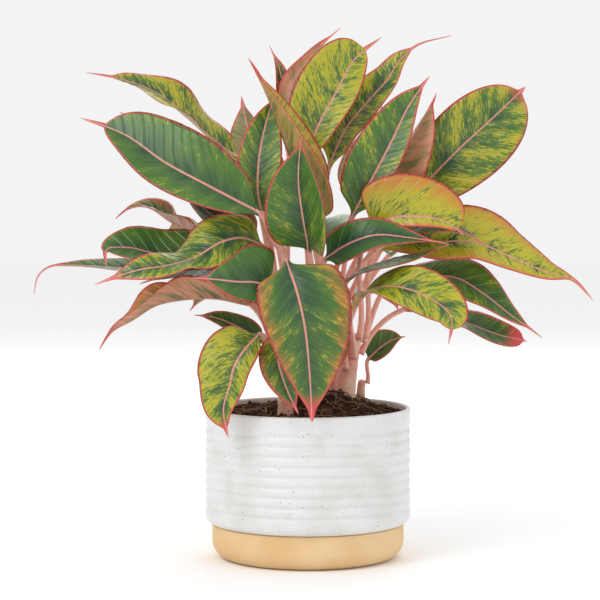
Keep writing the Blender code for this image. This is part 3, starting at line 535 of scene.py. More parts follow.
@dataclass(frozen=True)
class LeafSkin:
    """Finish of leaf and stalk: mottled green above, paler below, with a pink-red margin."""

    deep: Colour = (0.006, 0.045, 0.024)
    green: Colour = (0.035, 0.120, 0.014)
    pale_green: Colour = (0.15, 0.27, 0.030)
    yellow: Colour = (0.44, 0.40, 0.018)
    orange: Colour = (0.55, 0.13, 0.035)
    red: Colour = (0.62, 0.065, 0.070)
    rib: Colour = (0.66, 0.27, 0.21)
    below: Colour = (0.20, 0.22, 0.075)
    peach: Colour = (0.66, 0.27, 0.17)
    stalk_red: Colour = (0.80, 0.30, 0.24)
    stalk_pale: Colour = (0.78, 0.47, 0.36)
    margin_width: float = 2.4 * MM
    margin_solid: float = 0.9 * MM
    rib_taper: float = 0.6 * MM
    rib_width: float = 0.8 * MM
    relief: float = 0.6 * MM

    def make(self) -> bpy.types.Material:
        """Build the material.

        Returns:
            The material, which reads the attributes place, share and tone.
        """
        g = Graph("leaf_skin")
        mid, edge, along_m = g.attribute("place")
        across, along, upper = g.attribute("share")
        yellow, blush, pink = g.attribute("tone")
        red_tip, light, seed = g.attribute("tone_more")
        slant = g.maths("SUBTRACT", along_m, g.maths("MULTIPLY", mid, VEIN_SLANT))
        streaks = g.vector(g.maths("MULTIPLY", slant, 560.0), g.maths("MULTIPLY", mid, 190.0), seed)
        speckle = g.noise(streaks, 1.0, 6, 0.80)
        broad = g.vector(g.maths("MULTIPLY", slant, 95.0), g.maths("MULTIPLY", mid, 45.0), seed)
        patches = g.noise(broad, 1.0, 3)
        reach = g.maths("ABSOLUTE", across)
        # Green, lighter away from the midrib
        base = g.mix(g.fade(reach, 0.0, 0.75), self.deep, self.green)
        # The light value pales the green; its low value on leaves in shade is painted shade.
        base = g.mix(g.maths("MULTIPLY", light, g.fade(patches, 0.30, 0.75)), base, self.pale_green)
        base = g.mix(g.maths("MULTIPLY", light, 0.16), base, self.pale_green)
        # Mottling, along the side veins and towards the margin
        # A low yellow value on leaves in shade also leaves out the mottling, which paints their shade.
        amount = g.maths("ADD", g.maths("MULTIPLY", yellow, 0.36), g.maths("MULTIPLY", reach, 0.12))
        level = g.maths("ADD", g.maths("ADD", speckle, g.maths("MULTIPLY", patches, 0.45)), amount)
        mottle = g.maths("MULTIPLY", g.fade(level, 1.00, 1.12), g.fade(yellow, -0.05, 0.35))
        top = g.mix(mottle, base, self.yellow)
        # Orange blush in from the margin
        warm = g.maths("ADD", g.maths("MULTIPLY", reach, 0.55), g.maths("MULTIPLY", patches, 0.45))
        warm = g.maths("ADD", warm, g.maths("MULTIPLY", blush, 0.55))
        top = g.mix(g.maths("MULTIPLY", g.fade(warm, 0.85, 1.20), 0.75), top, self.orange)
        # Side veins
        phase = g.maths("FRACT", g.maths("DIVIDE", slant, VEIN_PITCH))
        vein = g.maths("ABSOLUTE", g.maths("SUBTRACT", phase, 0.5))
        vein_line = g.fade(vein, 0.05, 0.0)
        top = g.mix(g.maths("MULTIPLY", vein_line, 0.22), top, self.pale_green)
        # Underside
        under = g.mix(0.42, top, self.below)
        flush = g.maths("MULTIPLY", g.maths("MULTIPLY", pink, 0.85), g.fade(patches, 0.25, 0.65))
        under = g.mix(flush, under, self.peach)
        under = g.mix(g.maths("MULTIPLY", vein_line, 0.18), under, self.rib)
        skin = g.mix(upper, under, top)
        # Margin, tip and midrib
        rim_width = g.maths("ADD", edge, g.maths("MULTIPLY", g.maths("SUBTRACT", patches, 0.5), 0.0012))
        margin = g.maths("MULTIPLY", g.fade(rim_width, self.margin_width, self.margin_solid), 0.92)
        skin = g.mix(margin, skin, self.red)
        tip = g.fade(g.maths("ADD", along, g.maths("MULTIPLY", red_tip, 0.14)), 0.93, 1.06)
        skin = g.mix(tip, skin, self.red)
        taper = g.maths("MULTIPLY", g.maths("SUBTRACT", 1.0, along), self.rib_taper)
        rib_width = g.maths("SUBTRACT", mid, taper)
        skin = g.mix(g.fade(rib_width, self.rib_width, 0.1 * MM), skin, self.rib)
        stalk_tone = g.noise(g.vector(g.maths("MULTIPLY", along_m, 60.0), seed, 0.0), 1.0, 2)
        stalk = g.mix(stalk_tone, self.stalk_red, self.stalk_pale)
        skin = g.mix(g.fade(along_m, 4 * MM, -4 * MM), skin, stalk)
        quilted = g.maths("MULTIPLY", g.fade(vein, 0.0, 0.16), 0.8)
        relief = g.maths("ADD", quilted, g.maths("MULTIPLY", speckle, 0.25))
        g.bump(relief, self.relief, 0.7)
        roughness = g.maths("SUBTRACT", g.maths("ADD", 0.30, g.maths("MULTIPLY", patches, 0.18)),
                            g.maths("MULTIPLY", upper, 0.08))
        return g.surface(skin, roughness, 0.5)


@dataclass(frozen=True)
class CaneSkin:
    """Finish of the canes: salmon pink with paler rings and brown flecks."""

    pink: Colour = (0.72, 0.30, 0.22)
    pale: Colour = (0.76, 0.50, 0.36)
    brown: Colour = (0.24, 0.10, 0.05)

    def make(self) -> bpy.types.Material:
        """Build the material.

        Returns:
            The material.
        """
        g = Graph("cane_skin")
        place = g.place()
        tone = g.noise(place, 60.0, 3)
        flecks = g.noise(place, 420.0, 4, 0.7)
        colour = g.mix(g.fade(tone, 0.35, 0.65), self.pink, self.pale)
        colour = g.mix(g.maths("MULTIPLY", g.fade(flecks, 0.60, 0.72), 0.7), colour, self.brown)
        g.bump(flecks, 0.0006, 0.6)
        return g.surface(colour, 0.5)


@dataclass(frozen=True)
class SoilCrumbs:
    """Finish of the potting soil: dark, with crumbs and fibres of several browns."""

    dark: Colour = (0.012, 0.007, 0.005)
    brown: Colour = (0.090, 0.042, 0.022)
    rust: Colour = (0.22, 0.095, 0.045)

    def make(self) -> bpy.types.Material:
        """Build the material.

        Returns:
            The material.
        """
        g = Graph("soil_crumbs")
        place = g.place()
        grain = g.noise(place, 420.0, 4, 0.7)
        patch = g.noise(place, 90.0, 3)
        colour = g.mix(g.fade(grain, 0.35, 0.68), self.dark, self.brown)
        colour = g.mix(g.maths("MULTIPLY", g.fade(patch, 0.52, 0.70), 0.6), colour, self.rust)
        g.bump(grain, 0.0012, 0.9)
        return g.surface(colour, 0.92, 0.25)


@dataclass(frozen=True)
class RootFibre:
    """Finish of the fine roots on the soil."""

    tan: Colour = (0.34, 0.20, 0.11)
    dark: Colour = (0.12, 0.06, 0.035)

    def make(self) -> bpy.types.Material:
        """Build the material.

        Returns:
            The material.
        """
        g = Graph("root_fibre")
        tone = g.noise(g.place(), 150.0, 2)
        return g.surface(g.mix(tone, self.dark, self.tan), 0.85, 0.3)


@dataclass(frozen=True)
class WhiteGlaze:
    """Finish of the pot: satin white glaze with iron specks.

    specks: for each size of speck, its cells to the metre, its radius as a share of a cell, the
    share of cells left bare, and its strength.
    """

    white: Colour = (0.72, 0.725, 0.72)
    warm: Colour = (0.62, 0.61, 0.59)
    speck: Colour = (0.10, 0.075, 0.055)
    specks: tuple = ((260.0, 0.17, 0.84, 0.85), (480.0, 0.20, 0.80, 0.55))

    def make(self) -> bpy.types.Material:
        """Build the material.

        Returns:
            The material.
        """
        g = Graph("white_glaze")
        place = g.place()
        cloud = g.noise(place, 28.0, 4, 0.6)
        colour = g.mix(g.maths("MULTIPLY", g.fade(cloud, 0.42, 0.72), 0.7), self.white, self.warm)
        for scale, size, bare, strength in self.specks:
            distance, cell = g.cells(place, scale)
            split = g.tree.nodes.new("ShaderNodeSeparateXYZ")
            g.tree.links.new(cell, split.inputs[0])
            chosen = g.fade(split.outputs[0], bare, bare + 0.02)
            dot = g.maths("MULTIPLY", g.fade(distance, size, size * 0.6), chosen)
            colour = g.mix(g.maths("MULTIPLY", dot, strength), colour, self.speck)
        g.bump(g.noise(place, 140.0, 3), 0.0008, 0.35)
        return g.surface(colour, g.maths("ADD", 0.28, g.maths("MULTIPLY", cloud, 0.16)), 0.5)


@dataclass(frozen=True)
class RawClay:
    """Finish of the saucer: bare tan stoneware with a fine grain."""

    tan: Colour = (0.72, 0.47, 0.23)
    light: Colour = (0.78, 0.56, 0.31)
    grain: Colour = (0.42, 0.25, 0.12)

    def make(self) -> bpy.types.Material:
        """Build the material.

        Returns:
            The material.
        """
        g = Graph("raw_clay")
        place = g.place()
        cloud = g.noise(place, 22.0, 3)
        fine = g.noise(place, 900.0, 3, 0.7)
        colour = g.mix(g.fade(cloud, 0.3, 0.7), self.tan, self.light)
        colour = g.mix(g.maths("MULTIPLY", g.fade(fine, 0.64, 0.72), 0.35), colour, self.grain)
        g.bump(fine, 0.0003, 0.5)
        return g.surface(colour, 0.78, 0.35)


# ---------------------------------------------------------------- paths

def unit(vector: np.ndarray) -> np.ndarray:
    """Scale a vector to length 1.

    Args:
        vector: The vector.

    Returns:
        The scaled vector.
    """
    return vector / max(float(np.linalg.norm(vector)), 1e-9)


def smooth_path(points: np.ndarray, steps: int = 24) -> np.ndarray:
    """A dense centripetal Catmull-Rom curve.

    Args:
        points: The points that the curve runs through.
        steps: Samples between two points.

    Returns:
        Points along the curve, in order.
    """
    knots = np.array(points, float)
    knots = np.vstack([2 * knots[0] - knots[1], knots, 2 * knots[-1] - knots[-2]])
    times = np.concatenate([[0], np.cumsum(np.sqrt(np.linalg.norm(np.diff(knots, axis=0), axis=1)))])
    curve = []
    for i in range(1, len(knots) - 2):
        p0, p1, p2, p3 = knots[i - 1:i + 3]
        t0, t1, t2, t3 = times[i - 1:i + 3]
        for t in np.linspace(t1, t2, steps, endpoint=False):
            a1 = (t1 - t) / (t1 - t0) * p0 + (t - t0) / (t1 - t0) * p1
            a2 = (t2 - t) / (t2 - t1) * p1 + (t - t1) / (t2 - t1) * p2
            a3 = (t3 - t) / (t3 - t2) * p2 + (t - t2) / (t3 - t2) * p3
            b1 = (t2 - t) / (t2 - t0) * a1 + (t - t0) / (t2 - t0) * a2
            b2 = (t3 - t) / (t3 - t1) * a2 + (t - t1) / (t3 - t1) * a3
            curve.append((t2 - t) / (t2 - t1) * b1 + (t - t1) / (t2 - t1) * b2)
    curve.append(knots[-2])
    return np.array(curve)


def at_shares(curve: np.ndarray, shares: Sequence[float]) -> np.ndarray:
    """Points at shares of a curve's length.

    Args:
        curve: Points along the curve.
        shares: Shares from 0 to 1.

    Returns:
        One point for each share.
    """
    lengths = np.concatenate([[0], np.cumsum(np.linalg.norm(np.diff(curve, axis=0), axis=1))])
    wanted = np.array(shares) * lengths[-1]
    return np.stack([np.interp(wanted, lengths, curve[:, i]) for i in range(3)], axis=1)


def finish_piece(
    name: str, shape: bmesh.types.BMesh, material: bpy.types.Material, node: str | None,
) -> bpy.types.Object:
    """Turn a bmesh into a piece that rides on the plant.

    Args:
        name: The piece's name.
        shape: Its geometry, which is freed.
        material: Its finish.
        node: The solid that it stands for, if any.

    Returns:
        The new object.
    """
    mesh = bpy.data.meshes.new(name)
    shape.to_mesh(mesh)
    shape.free()
    mesh.materials.append(material)
    mesh.shade_smooth()
    piece = bpy.data.objects.new(name, mesh)
    bpy.context.scene.collection.objects.link(piece)
    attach(piece, ROOT)
    if node:
        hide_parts(node)
    log.info("%s: %d faces", name, len(mesh.polygons))
    return piece


def tube(sides: int, rings: int) -> bmesh.types.BMesh:
    """A capped cylinder with a ring of vertices at each whole height from 0.

    Args:
        sides: Vertices round a ring.
        rings: Number of rings.

    Returns:
        The bmesh, whose vertices ring_and_slot can place.
    """
    shape = bmesh.new()
    bmesh.ops.create_cone(shape, cap_ends=True, segments=sides, radius1=1, radius2=1, depth=rings - 1)
    uprights = [edge for edge in shape.edges if abs(edge.verts[0].co.z - edge.verts[1].co.z) > 0.5]
    bmesh.ops.subdivide_edges(shape, edges=uprights, cuts=rings - 2, use_grid_fill=True)
    return shape


def ring_and_slot(vert: bmesh.types.BMVert, sides: int, rings: int) -> tuple[int, int]:
    """Which ring of a tube a vertex is on, and its place round it.

    Args:
        vert: The vertex, before the tube is bent.
        sides: Vertices round a ring.
        rings: Number of rings.

    Returns:
        The ring's number from the foot, and the vertex's number round it.
    """
    ring = round(vert.co.z + (rings - 1) / 2)
    slot = round(np.arctan2(vert.co.y, vert.co.x) / tau * sides) % sides
    return ring, slot


# ---------------------------------------------------------------- soil, canes and leaves

@dataclass
class Ground:
    """The soil: a mounded bed of crumbs with fine roots lying on it."""

    edge_height: float = 124.4 * MM
    mound_radius: float = 68 * MM
    mound_height: float = 17 * MM
    mound_x: float = 13 * MM
    mound_y: float = 8 * MM
    bed_radius: float = 82.6 * MM
    bed_depth: float = 40 * MM
    crumbs: int = 1500
    fibres: int = 60
    bed_sides: int = 96
    bed_rings: int = 26
    fibre_sides: int = 5
    fibre_points: int = 7
    seed: int = 7

    def height(self, x: float, y: float) -> float:
        """Smooth height of the surface.

        Args:
            x: Place in plan.
            y: Place in plan.

        Returns:
            Height in metres.
        """
        distance = np.hypot(x - self.mound_x, y - self.mound_y) / self.mound_radius
        return self.edge_height + self.mound_height * (1 + cos(pi * min(1, distance))) / 2

    def rough_height(self, x: float, y: float) -> float:
        """Height of the surface with its clods.

        Args:
            x: Place in plan.
            y: Place in plan.

        Returns:
            Height in metres.
        """
        place = Vector((x * 90, y * 90, 0.3))
        clods = 2.2 * MM * noise.noise(place) + 1.2 * MM * noise.noise(place * 2.7)
        return self.height(x, y) + clods - 1.2 * MM

    def build(self, finish: SoilCrumbs, fibre: RootFibre) -> None:
        """Make the bed, its crumbs and its roots.

        Args:
            finish: Finish of bed and crumbs.
            fibre: Finish of the roots.
        """
        earth = finish.make()
        chance = random.Random(self.seed)
        finish_piece("soil_bed", self.bed(), earth, "soil")
        finish_piece("soil_crumbs", self.heap(chance), earth, None)
        finish_piece("soil_roots", self.roots(chance), fibre.make(), None)

    def bed(self) -> bmesh.types.BMesh:
        """Shape the bed: rings drawn in from its edge, and a skirt down into the pot.

        Returns:
            The closed bed.
        """
        bed = bmesh.new()
        bmesh.ops.create_circle(bed, cap_ends=False, segments=self.bed_sides, radius=self.bed_radius)
        ring = list(bed.edges)
        for i in range(self.bed_rings):
            step = bmesh.ops.extrude_edge_only(bed, edges=ring)
            ring = [item for item in step["geom"] if isinstance(item, bmesh.types.BMEdge)]
            verts = [item for item in step["geom"] if isinstance(item, bmesh.types.BMVert)]
            ring = [edge for edge in ring if all(vert in verts for vert in edge.verts)]
            left = self.bed_rings - i - 0.9
            share = left / (left + 1)
            bmesh.ops.scale(bed, vec=(share, share, 1), verts=verts)
        bmesh.ops.contextual_create(bed, geom=ring)
        for vert in bed.verts:
            vert.co.z = self.rough_height(vert.co.x, vert.co.y)
        skirt = bmesh.ops.extrude_edge_only(bed, edges=[edge for edge in bed.edges if edge.is_boundary])
        low = [item for item in skirt["geom"] if isinstance(item, bmesh.types.BMVert)]
        for vert in low:
            vert.co.z = self.edge_height - self.bed_depth
        bmesh.ops.contextual_create(bed, geom=[edge for edge in bed.edges if edge.is_boundary])
        bmesh.ops.recalc_face_normals(bed, faces=bed.faces)
        return bed

    def heap(self, chance: random.Random) -> bmesh.types.BMesh:
        """Scatter crumbs over the bed.

        Args:
            chance: Random source.

        Returns:
            The crumbs.
        """
        heap = bmesh.new()
        for _ in range(self.crumbs):
            angle = chance.uniform(0, tau)
            radius = self.bed_radius * 0.975 * chance.random() ** 0.5
            x, y = radius * cos(angle), radius * sin(angle)
            size = chance.choice((0.8, 1.0, 1.3, 1.6, 2.2, 3.0)) * MM
            place = Matrix.Translation((x, y, self.rough_height(x, y) + 0.15 * size))
            swing = chance.uniform(0, tau)
            turn = Matrix.Rotation(swing, 4, Vector((chance.uniform(-1, 1), chance.uniform(-1, 1), 1)))
            sides = (chance.uniform(0.7, 1.6), chance.uniform(0.6, 1.1), chance.uniform(0.5, 0.9))
            stretch = Matrix.Diagonal((*sides, 1))
            bmesh.ops.create_icosphere(heap, subdivisions=1, radius=size, matrix=place @ turn @ stretch)
        return heap

    def roots(self, chance: random.Random) -> bmesh.types.BMesh:
        """Lay fine roots on the soil.

        Args:
            chance: Random source.

        Returns:
            The roots.
        """
        mat = bmesh.new()
        for _ in range(self.fibres):
            angle = chance.uniform(0, tau)
            radius = self.bed_radius * 0.85 * chance.random() ** 0.7
            heading = chance.uniform(0, tau)
            x, y = radius * cos(angle), radius * sin(angle)
            thick = chance.uniform(0.25, 0.55) * MM
            points = []
            for i in range(self.fibre_points):
                arch = sin(pi * i / (self.fibre_points - 1))
                lift = 1.2 * MM + 3.5 * MM * arch * chance.random()
                points.append((x, y, self.height(x, y) + lift))
                heading += chance.uniform(-0.6, 0.6)
                x += 4.0 * MM * cos(heading)
                y += 4.0 * MM * sin(heading)
                if np.hypot(x, y) > self.bed_radius * 0.95:
                    break
            if len(points) < 3:
                continue
            path = np.array(points)
            along = np.gradient(path, axis=0)
            root = tube(self.fibre_sides, len(path))
            for vert in root.verts:
                ring, slot = ring_and_slot(vert, self.fibre_sides, len(path))
                step = unit(along[ring])
                side = unit(np.cross(step, (0, 0, 1)))
                up = np.cross(side, step)
                turn = tau * slot / self.fibre_sides
                vert.co = path[ring] + thick * (cos(turn) * side + sin(turn) * up)
            bmesh.ops.recalc_face_normals(root, faces=root.faces)
            scratch = bpy.data.meshes.new("scratch")
            root.to_mesh(scratch)
            root.free()
            mat.from_mesh(scratch)
            bpy.data.meshes.remove(scratch)
        return mat


@dataclass
class Canes:
    """The upright stems, ringed by the scars of old leaves."""

    ground: Ground
    rooted_depth: float = 40 * MM
    sides: int = 24
    rings: int = 60
    scar_pitch: float = 9 * MM
    scar_depth: float = 0.07

    def axis(self, name: str) -> tuple[np.ndarray, np.ndarray]:
        """A cane's middle line, from the bottom of its socket up.

        Args:
            name: The cane's name.

        Returns:
            Points along the line, and the radius at each.
        """
        cane = CANES[name]
        points = np.array(cane.path) * MM
        x, y = points[0][:2]
        surface = self.ground.height(x, y)
        points[0][2] = surface + 3 * MM
        buried = [(x, y, surface - self.rooted_depth), (x, y, surface - self.rooted_depth / 2)]
        curve = smooth_path(np.vstack([buried, points]), 12)
        foot, top = (radius * MM for radius in cane.radii)
        return curve, np.interp(curve[:, 2], [surface, points[-1][2]], [foot, top])

    def build(self, finish: CaneSkin) -> None:
        """Make every cane.

        Args:
            finish: Their finish.
        """
        skin = finish.make()
        for name in CANES:
            curve, radii = self.axis(name)
            path = at_shares(curve, np.linspace(0, 1, self.rings))
            along = np.gradient(path, axis=0)
            widths = np.interp(path[:, 2], curve[:, 2], radii)
            shape = tube(self.sides, self.rings)
            for vert in shape.verts:
                ring, slot = ring_and_slot(vert, self.sides, self.rings)
                step = unit(along[ring])
                side = unit(np.cross(step, (0, 1, 0)))
                front = np.cross(side, step)
                turn = tau * slot / self.sides
                height = path[ring][2] + 2.5 * MM * sin(turn)
                scar = abs((height / self.scar_pitch) % 1 - 0.5) * 2
                radius = widths[ring] * (1 - self.scar_depth * (1 - scar) ** 6)
                radius *= 1 + 0.03 * noise.noise(Vector(path[ring]) * 120)
                if ring == self.rings - 1:
                    radius *= 0.45
                elif ring == self.rings - 2:
                    radius *= 0.85
                vert.co = path[ring] + radius * (cos(turn) * side + sin(turn) * front)
            bmesh.ops.recalc_face_normals(shape, faces=shape.faces)
            finish_piece("stem_" + name, shape, skin, "cane_" + name)


@dataclass
class Foliage:
    """Every leaf with its stalk."""

    canes: Canes
    sides: int = 40
    stalk_rings: int = 14
    blade_rings: int = 72
    stalk_handle: float = 0.34
    stalk_rise: float = 2.2
    thickness: float = 0.7 * MM
    quilt: float = 0.35 * MM
    seed_step: float = 3.7

    def stalk_path(self, leaf: LeafShape) -> np.ndarray:
        """The stalk's middle line.

        Args:
            leaf: The leaf.

        Returns:
            Points from the cane to the blade's base.
        """
        curve, radii = self.canes.axis(leaf.cane)
        height = leaf.node * MM
        middle = np.array([np.interp(height, curve[:, 2], curve[:, i]) for i in range(3)])
        out = np.array([cos(radians(leaf.side)), sin(radians(leaf.side)), 0])
        reach = np.interp(height, curve[:, 2], radii) + leaf.stalk * MM * 0.75
        foot = middle + out * reach
        blade = np.array(leaf.midrib) * MM
        base = blade[0]
        span = base - foot
        handle = self.stalk_handle * np.linalg.norm(span)
        leaving = foot + handle * unit(self.stalk_rise * np.array([0, 0, 1]) + out)
        arriving = base - handle * unit(unit(blade[1] - base) + unit(span))
        t = np.linspace(0, 1, 33)[:, None]
        return (
            (1 - t) ** 3 * foot + 3 * (1 - t) ** 2 * t * leaving
            + 3 * (1 - t) * t ** 2 * arriving + t ** 3 * base
        )

    @staticmethod
    def width_share(outline: tuple, t: float) -> float:
        """Half width along the blade.

        Args:
            outline: Roundness at the base and at the tip, and the drip tip's share.
            t: Place along the blade, from 0 to 1.

        Returns:
            The half width as a share of the greatest.
        """
        base_power, tip_power, drip = outline
        widest = base_power / (base_power + tip_power)
        u = min(max(t / (1 - drip), 1e-6), 1)
        body = (u / widest) ** base_power * ((1 - u) / (1 - widest)) ** tip_power
        tail = 0.075 * min((1 - t) / max(drip, 0.03), 1) ** 0.8 * min(t / 0.3, 1)
        return (body ** 2.5 + tail ** 2.5) ** 0.4

    def offset(self, leaf: LeafShape, v: float, t: float) -> tuple[float, float, float]:
        """Sideways and upward offset of the blade from its midrib, and its half width there.

        Args:
            leaf: The leaf.
            v: Place across the blade, from -1 to 1.
            t: Place along the blade, from 0 to 1.

        Returns:
            Offsets sideways and upward, and the half width, in metres.
        """
        fold = radians(leaf.fold)
        curl = radians(leaf.curl)
        half = self.width_share(leaf.outline, t) * leaf.half[1 if v > 0 else 0] * MM
        sideways = (sin(fold + curl * abs(v)) - sin(fold)) / curl
        upward = (cos(fold) - cos(fold + curl * abs(v))) / curl
        ripples, size, phase = leaf.wave
        turn = tau * ripples * t + phase + (0 if v > 0 else 2.1)
        upward += size * sin(turn) * v * v * sin(pi * t) ** 0.7
        return (half * sideways if v > 0 else -half * sideways), half * upward, half

    def frames(self, leaf: LeafShape) -> tuple[np.ndarray, np.ndarray, np.ndarray, float]:
        """Directions along the whole leaf, ring by ring.

        Args:
            leaf: The leaf.

        Returns:
            Middle line, direction across, direction of facing, and the blade's length.
        """
        stalk = at_shares(self.stalk_path(leaf), np.linspace(0, 1, self.stalk_rings + 1)[:-1])
        shares = np.linspace(0, 1, self.blade_rings)
        curve = smooth_path(np.array(leaf.midrib) * MM)
        blade = at_shares(curve, shares)
        line = np.vstack([stalk, blade])
        along = np.array([unit(step) for step in np.gradient(line, axis=0)])
        steps = np.linspace(0, 1, len(leaf.facing))
        sides = list(zip(*leaf.facing))
        looks = np.stack([np.interp(shares, steps, side) for side in sides], axis=1)
        facing = np.zeros_like(line)
        for i in range(self.blade_rings):
            tangent = along[self.stalk_rings + i]
            facing[self.stalk_rings + i] = unit(looks[i] - (looks[i] @ tangent) * tangent)
        for i in reversed(range(self.stalk_rings)):
            facing[i] = unit(facing[i + 1] - (facing[i + 1] @ along[i]) * along[i])
        length = float(np.linalg.norm(np.diff(curve, axis=0), axis=1).sum())
        return line, np.cross(along, facing), facing, length

    def build_leaf(self, leaf: LeafShape, skin: bpy.types.Material, seed: float) -> None:
        """Loft one leaf and record where each vertex lies on it.

        Args:
            leaf: The leaf.
            skin: Its material.
            seed: Shift of its mottling.
        """
        rings = self.stalk_rings + self.blade_rings
        line, across, facing, length = self.frames(leaf)
        steps = np.diff(line[:self.stalk_rings + 1], axis=0)
        stalk_length = float(np.linalg.norm(steps, axis=1).sum())
        shape = tube(self.sides, rings)
        place = shape.verts.layers.float_vector.new("place")
        share = shape.verts.layers.float_vector.new("share")
        tone = shape.verts.layers.float_vector.new("tone")
        tone_more = shape.verts.layers.float_vector.new("tone_more")
        colours = TONES.get(leaf.name, Tone())
        radius = leaf.stalk * MM
        half_turn = self.sides // 2
        for vert in shape.verts:
            ring, slot = ring_and_slot(vert, self.sides, rings)
            t = max(ring - self.stalk_rings, 0) / (self.blade_rings - 1)
            upper = slot <= half_turn
            s = 1 - 2 * slot / half_turn if upper else -1 + 2 * (slot - half_turn) / half_turn
            v = abs(s) ** 1.25 * (1 if s > 0 else -1)
            turn = tau * slot / self.sides
            slimming = 1 - 0.75 * t
            sideways, upward, half = self.offset(leaf, v, t)
            mid = abs(v) * half
            slant = t * length - VEIN_SLANT * mid
            flat = min(1, mid / (6 * MM)) * min(1, (1 - abs(v)) * 4) * min(1, 5 * (1 - t)) * min(1, 6 * t)
            upward += self.quilt * flat * sin(tau * slant / VEIN_PITCH)
            skin_depth = self.thickness / 2 * max(1 - abs(v) ** 6, 0.0) * (1 - 0.5 * t)
            keel = exp(-(mid / (radius * slimming)) ** 2) * radius * slimming
            upward += skin_depth - 0.25 * keel if upper else -skin_depth - 1.0 * keel
            blend = min(1, t / 0.12)
            blend = blend * blend * (3 - 2 * blend)
            if ring < self.stalk_rings:
                blend = 0
            flare = 1 + 0.5 * max(0, 1 - ring / (0.35 * self.stalk_rings)) ** 2
            circle = radius * slimming * flare
            sideways = blend * sideways + (1 - blend) * circle * cos(turn)
            upward = blend * upward + (1 - blend) * circle * sin(turn)
            vert.co = line[ring] + across[ring] * sideways + facing[ring] * upward
            from_base = t * length
            if ring < self.stalk_rings:
                from_base = stalk_length * (ring / self.stalk_rings - 1)
            vert[place] = (mid, (1 - abs(v)) * half + 0.02 * (1 - blend), from_base)
            vert[share] = (v, t, 1.0 if upper else 0.0)
            # Tone values; the low yellow and light values on leaves in shade are painted shade.
            vert[tone] = (colours.yellow, colours.blush, colours.pink)
            vert[tone_more] = (colours.red_tip, colours.light, seed)
        bmesh.ops.reverse_faces(shape, faces=shape.faces)
        finish_piece(leaf.name.replace("leaf_", "foliage_", 1), shape, skin, leaf.name)

    def build(self, finish: LeafSkin) -> None:
        """Make every leaf.

        Args:
            finish: Their finish.
        """
        skin = finish.make()
        for i, leaf in enumerate(LEAVES):
            self.build_leaf(leaf, skin, self.seed_step * i)


# ---------------------------------------------------------------- pot and saucer

def spin(outline: Sequence[tuple[float, float]], closed: bool, steps: int) -> bmesh.types.BMesh:
    """Turn an outline about the pot's axis.

    Args:
        outline: Points as radius and height.
        closed: Whether the last point joins the first.
        steps: Steps round the turn.

    Returns:
        The turned shape, facing out.
    """
    shape = bmesh.new()
    corners = [shape.verts.new((radius, 0, height)) for radius, height in outline]
    edges = [shape.edges.new(pair) for pair in zip(corners, corners[1:])]
    if closed:
        edges.append(shape.edges.new((corners[-1], corners[0])))
    bmesh.ops.spin(
        shape, geom=corners + edges, cent=(0, 0, 0), axis=(0, 0, 1), angle=tau, steps=steps,
        use_merge=True,
    )
    bmesh.ops.remove_doubles(shape, verts=shape.verts, dist=0.00002)
    bmesh.ops.recalc_face_normals(shape, faces=shape.faces)
    return shape


def arc(
    centre: tuple[float, float], radius: float, start: float, end: float, steps: int,
) -> list[tuple[float, float]]:
    """Points on an arc in the turning plane.

    Args:
        centre: Its centre, as radius and height.
        radius: Its radius.
        start: First angle in degrees.
        end: Last angle in degrees.
        steps: Steps between them.

    Returns:
        The points, in order.
    """
    angles = [radians(start + (end - start) * i / steps) for i in range(steps + 1)]
    return [(centre[0] + radius * cos(a), centre[1] + radius * sin(a)) for a in angles]


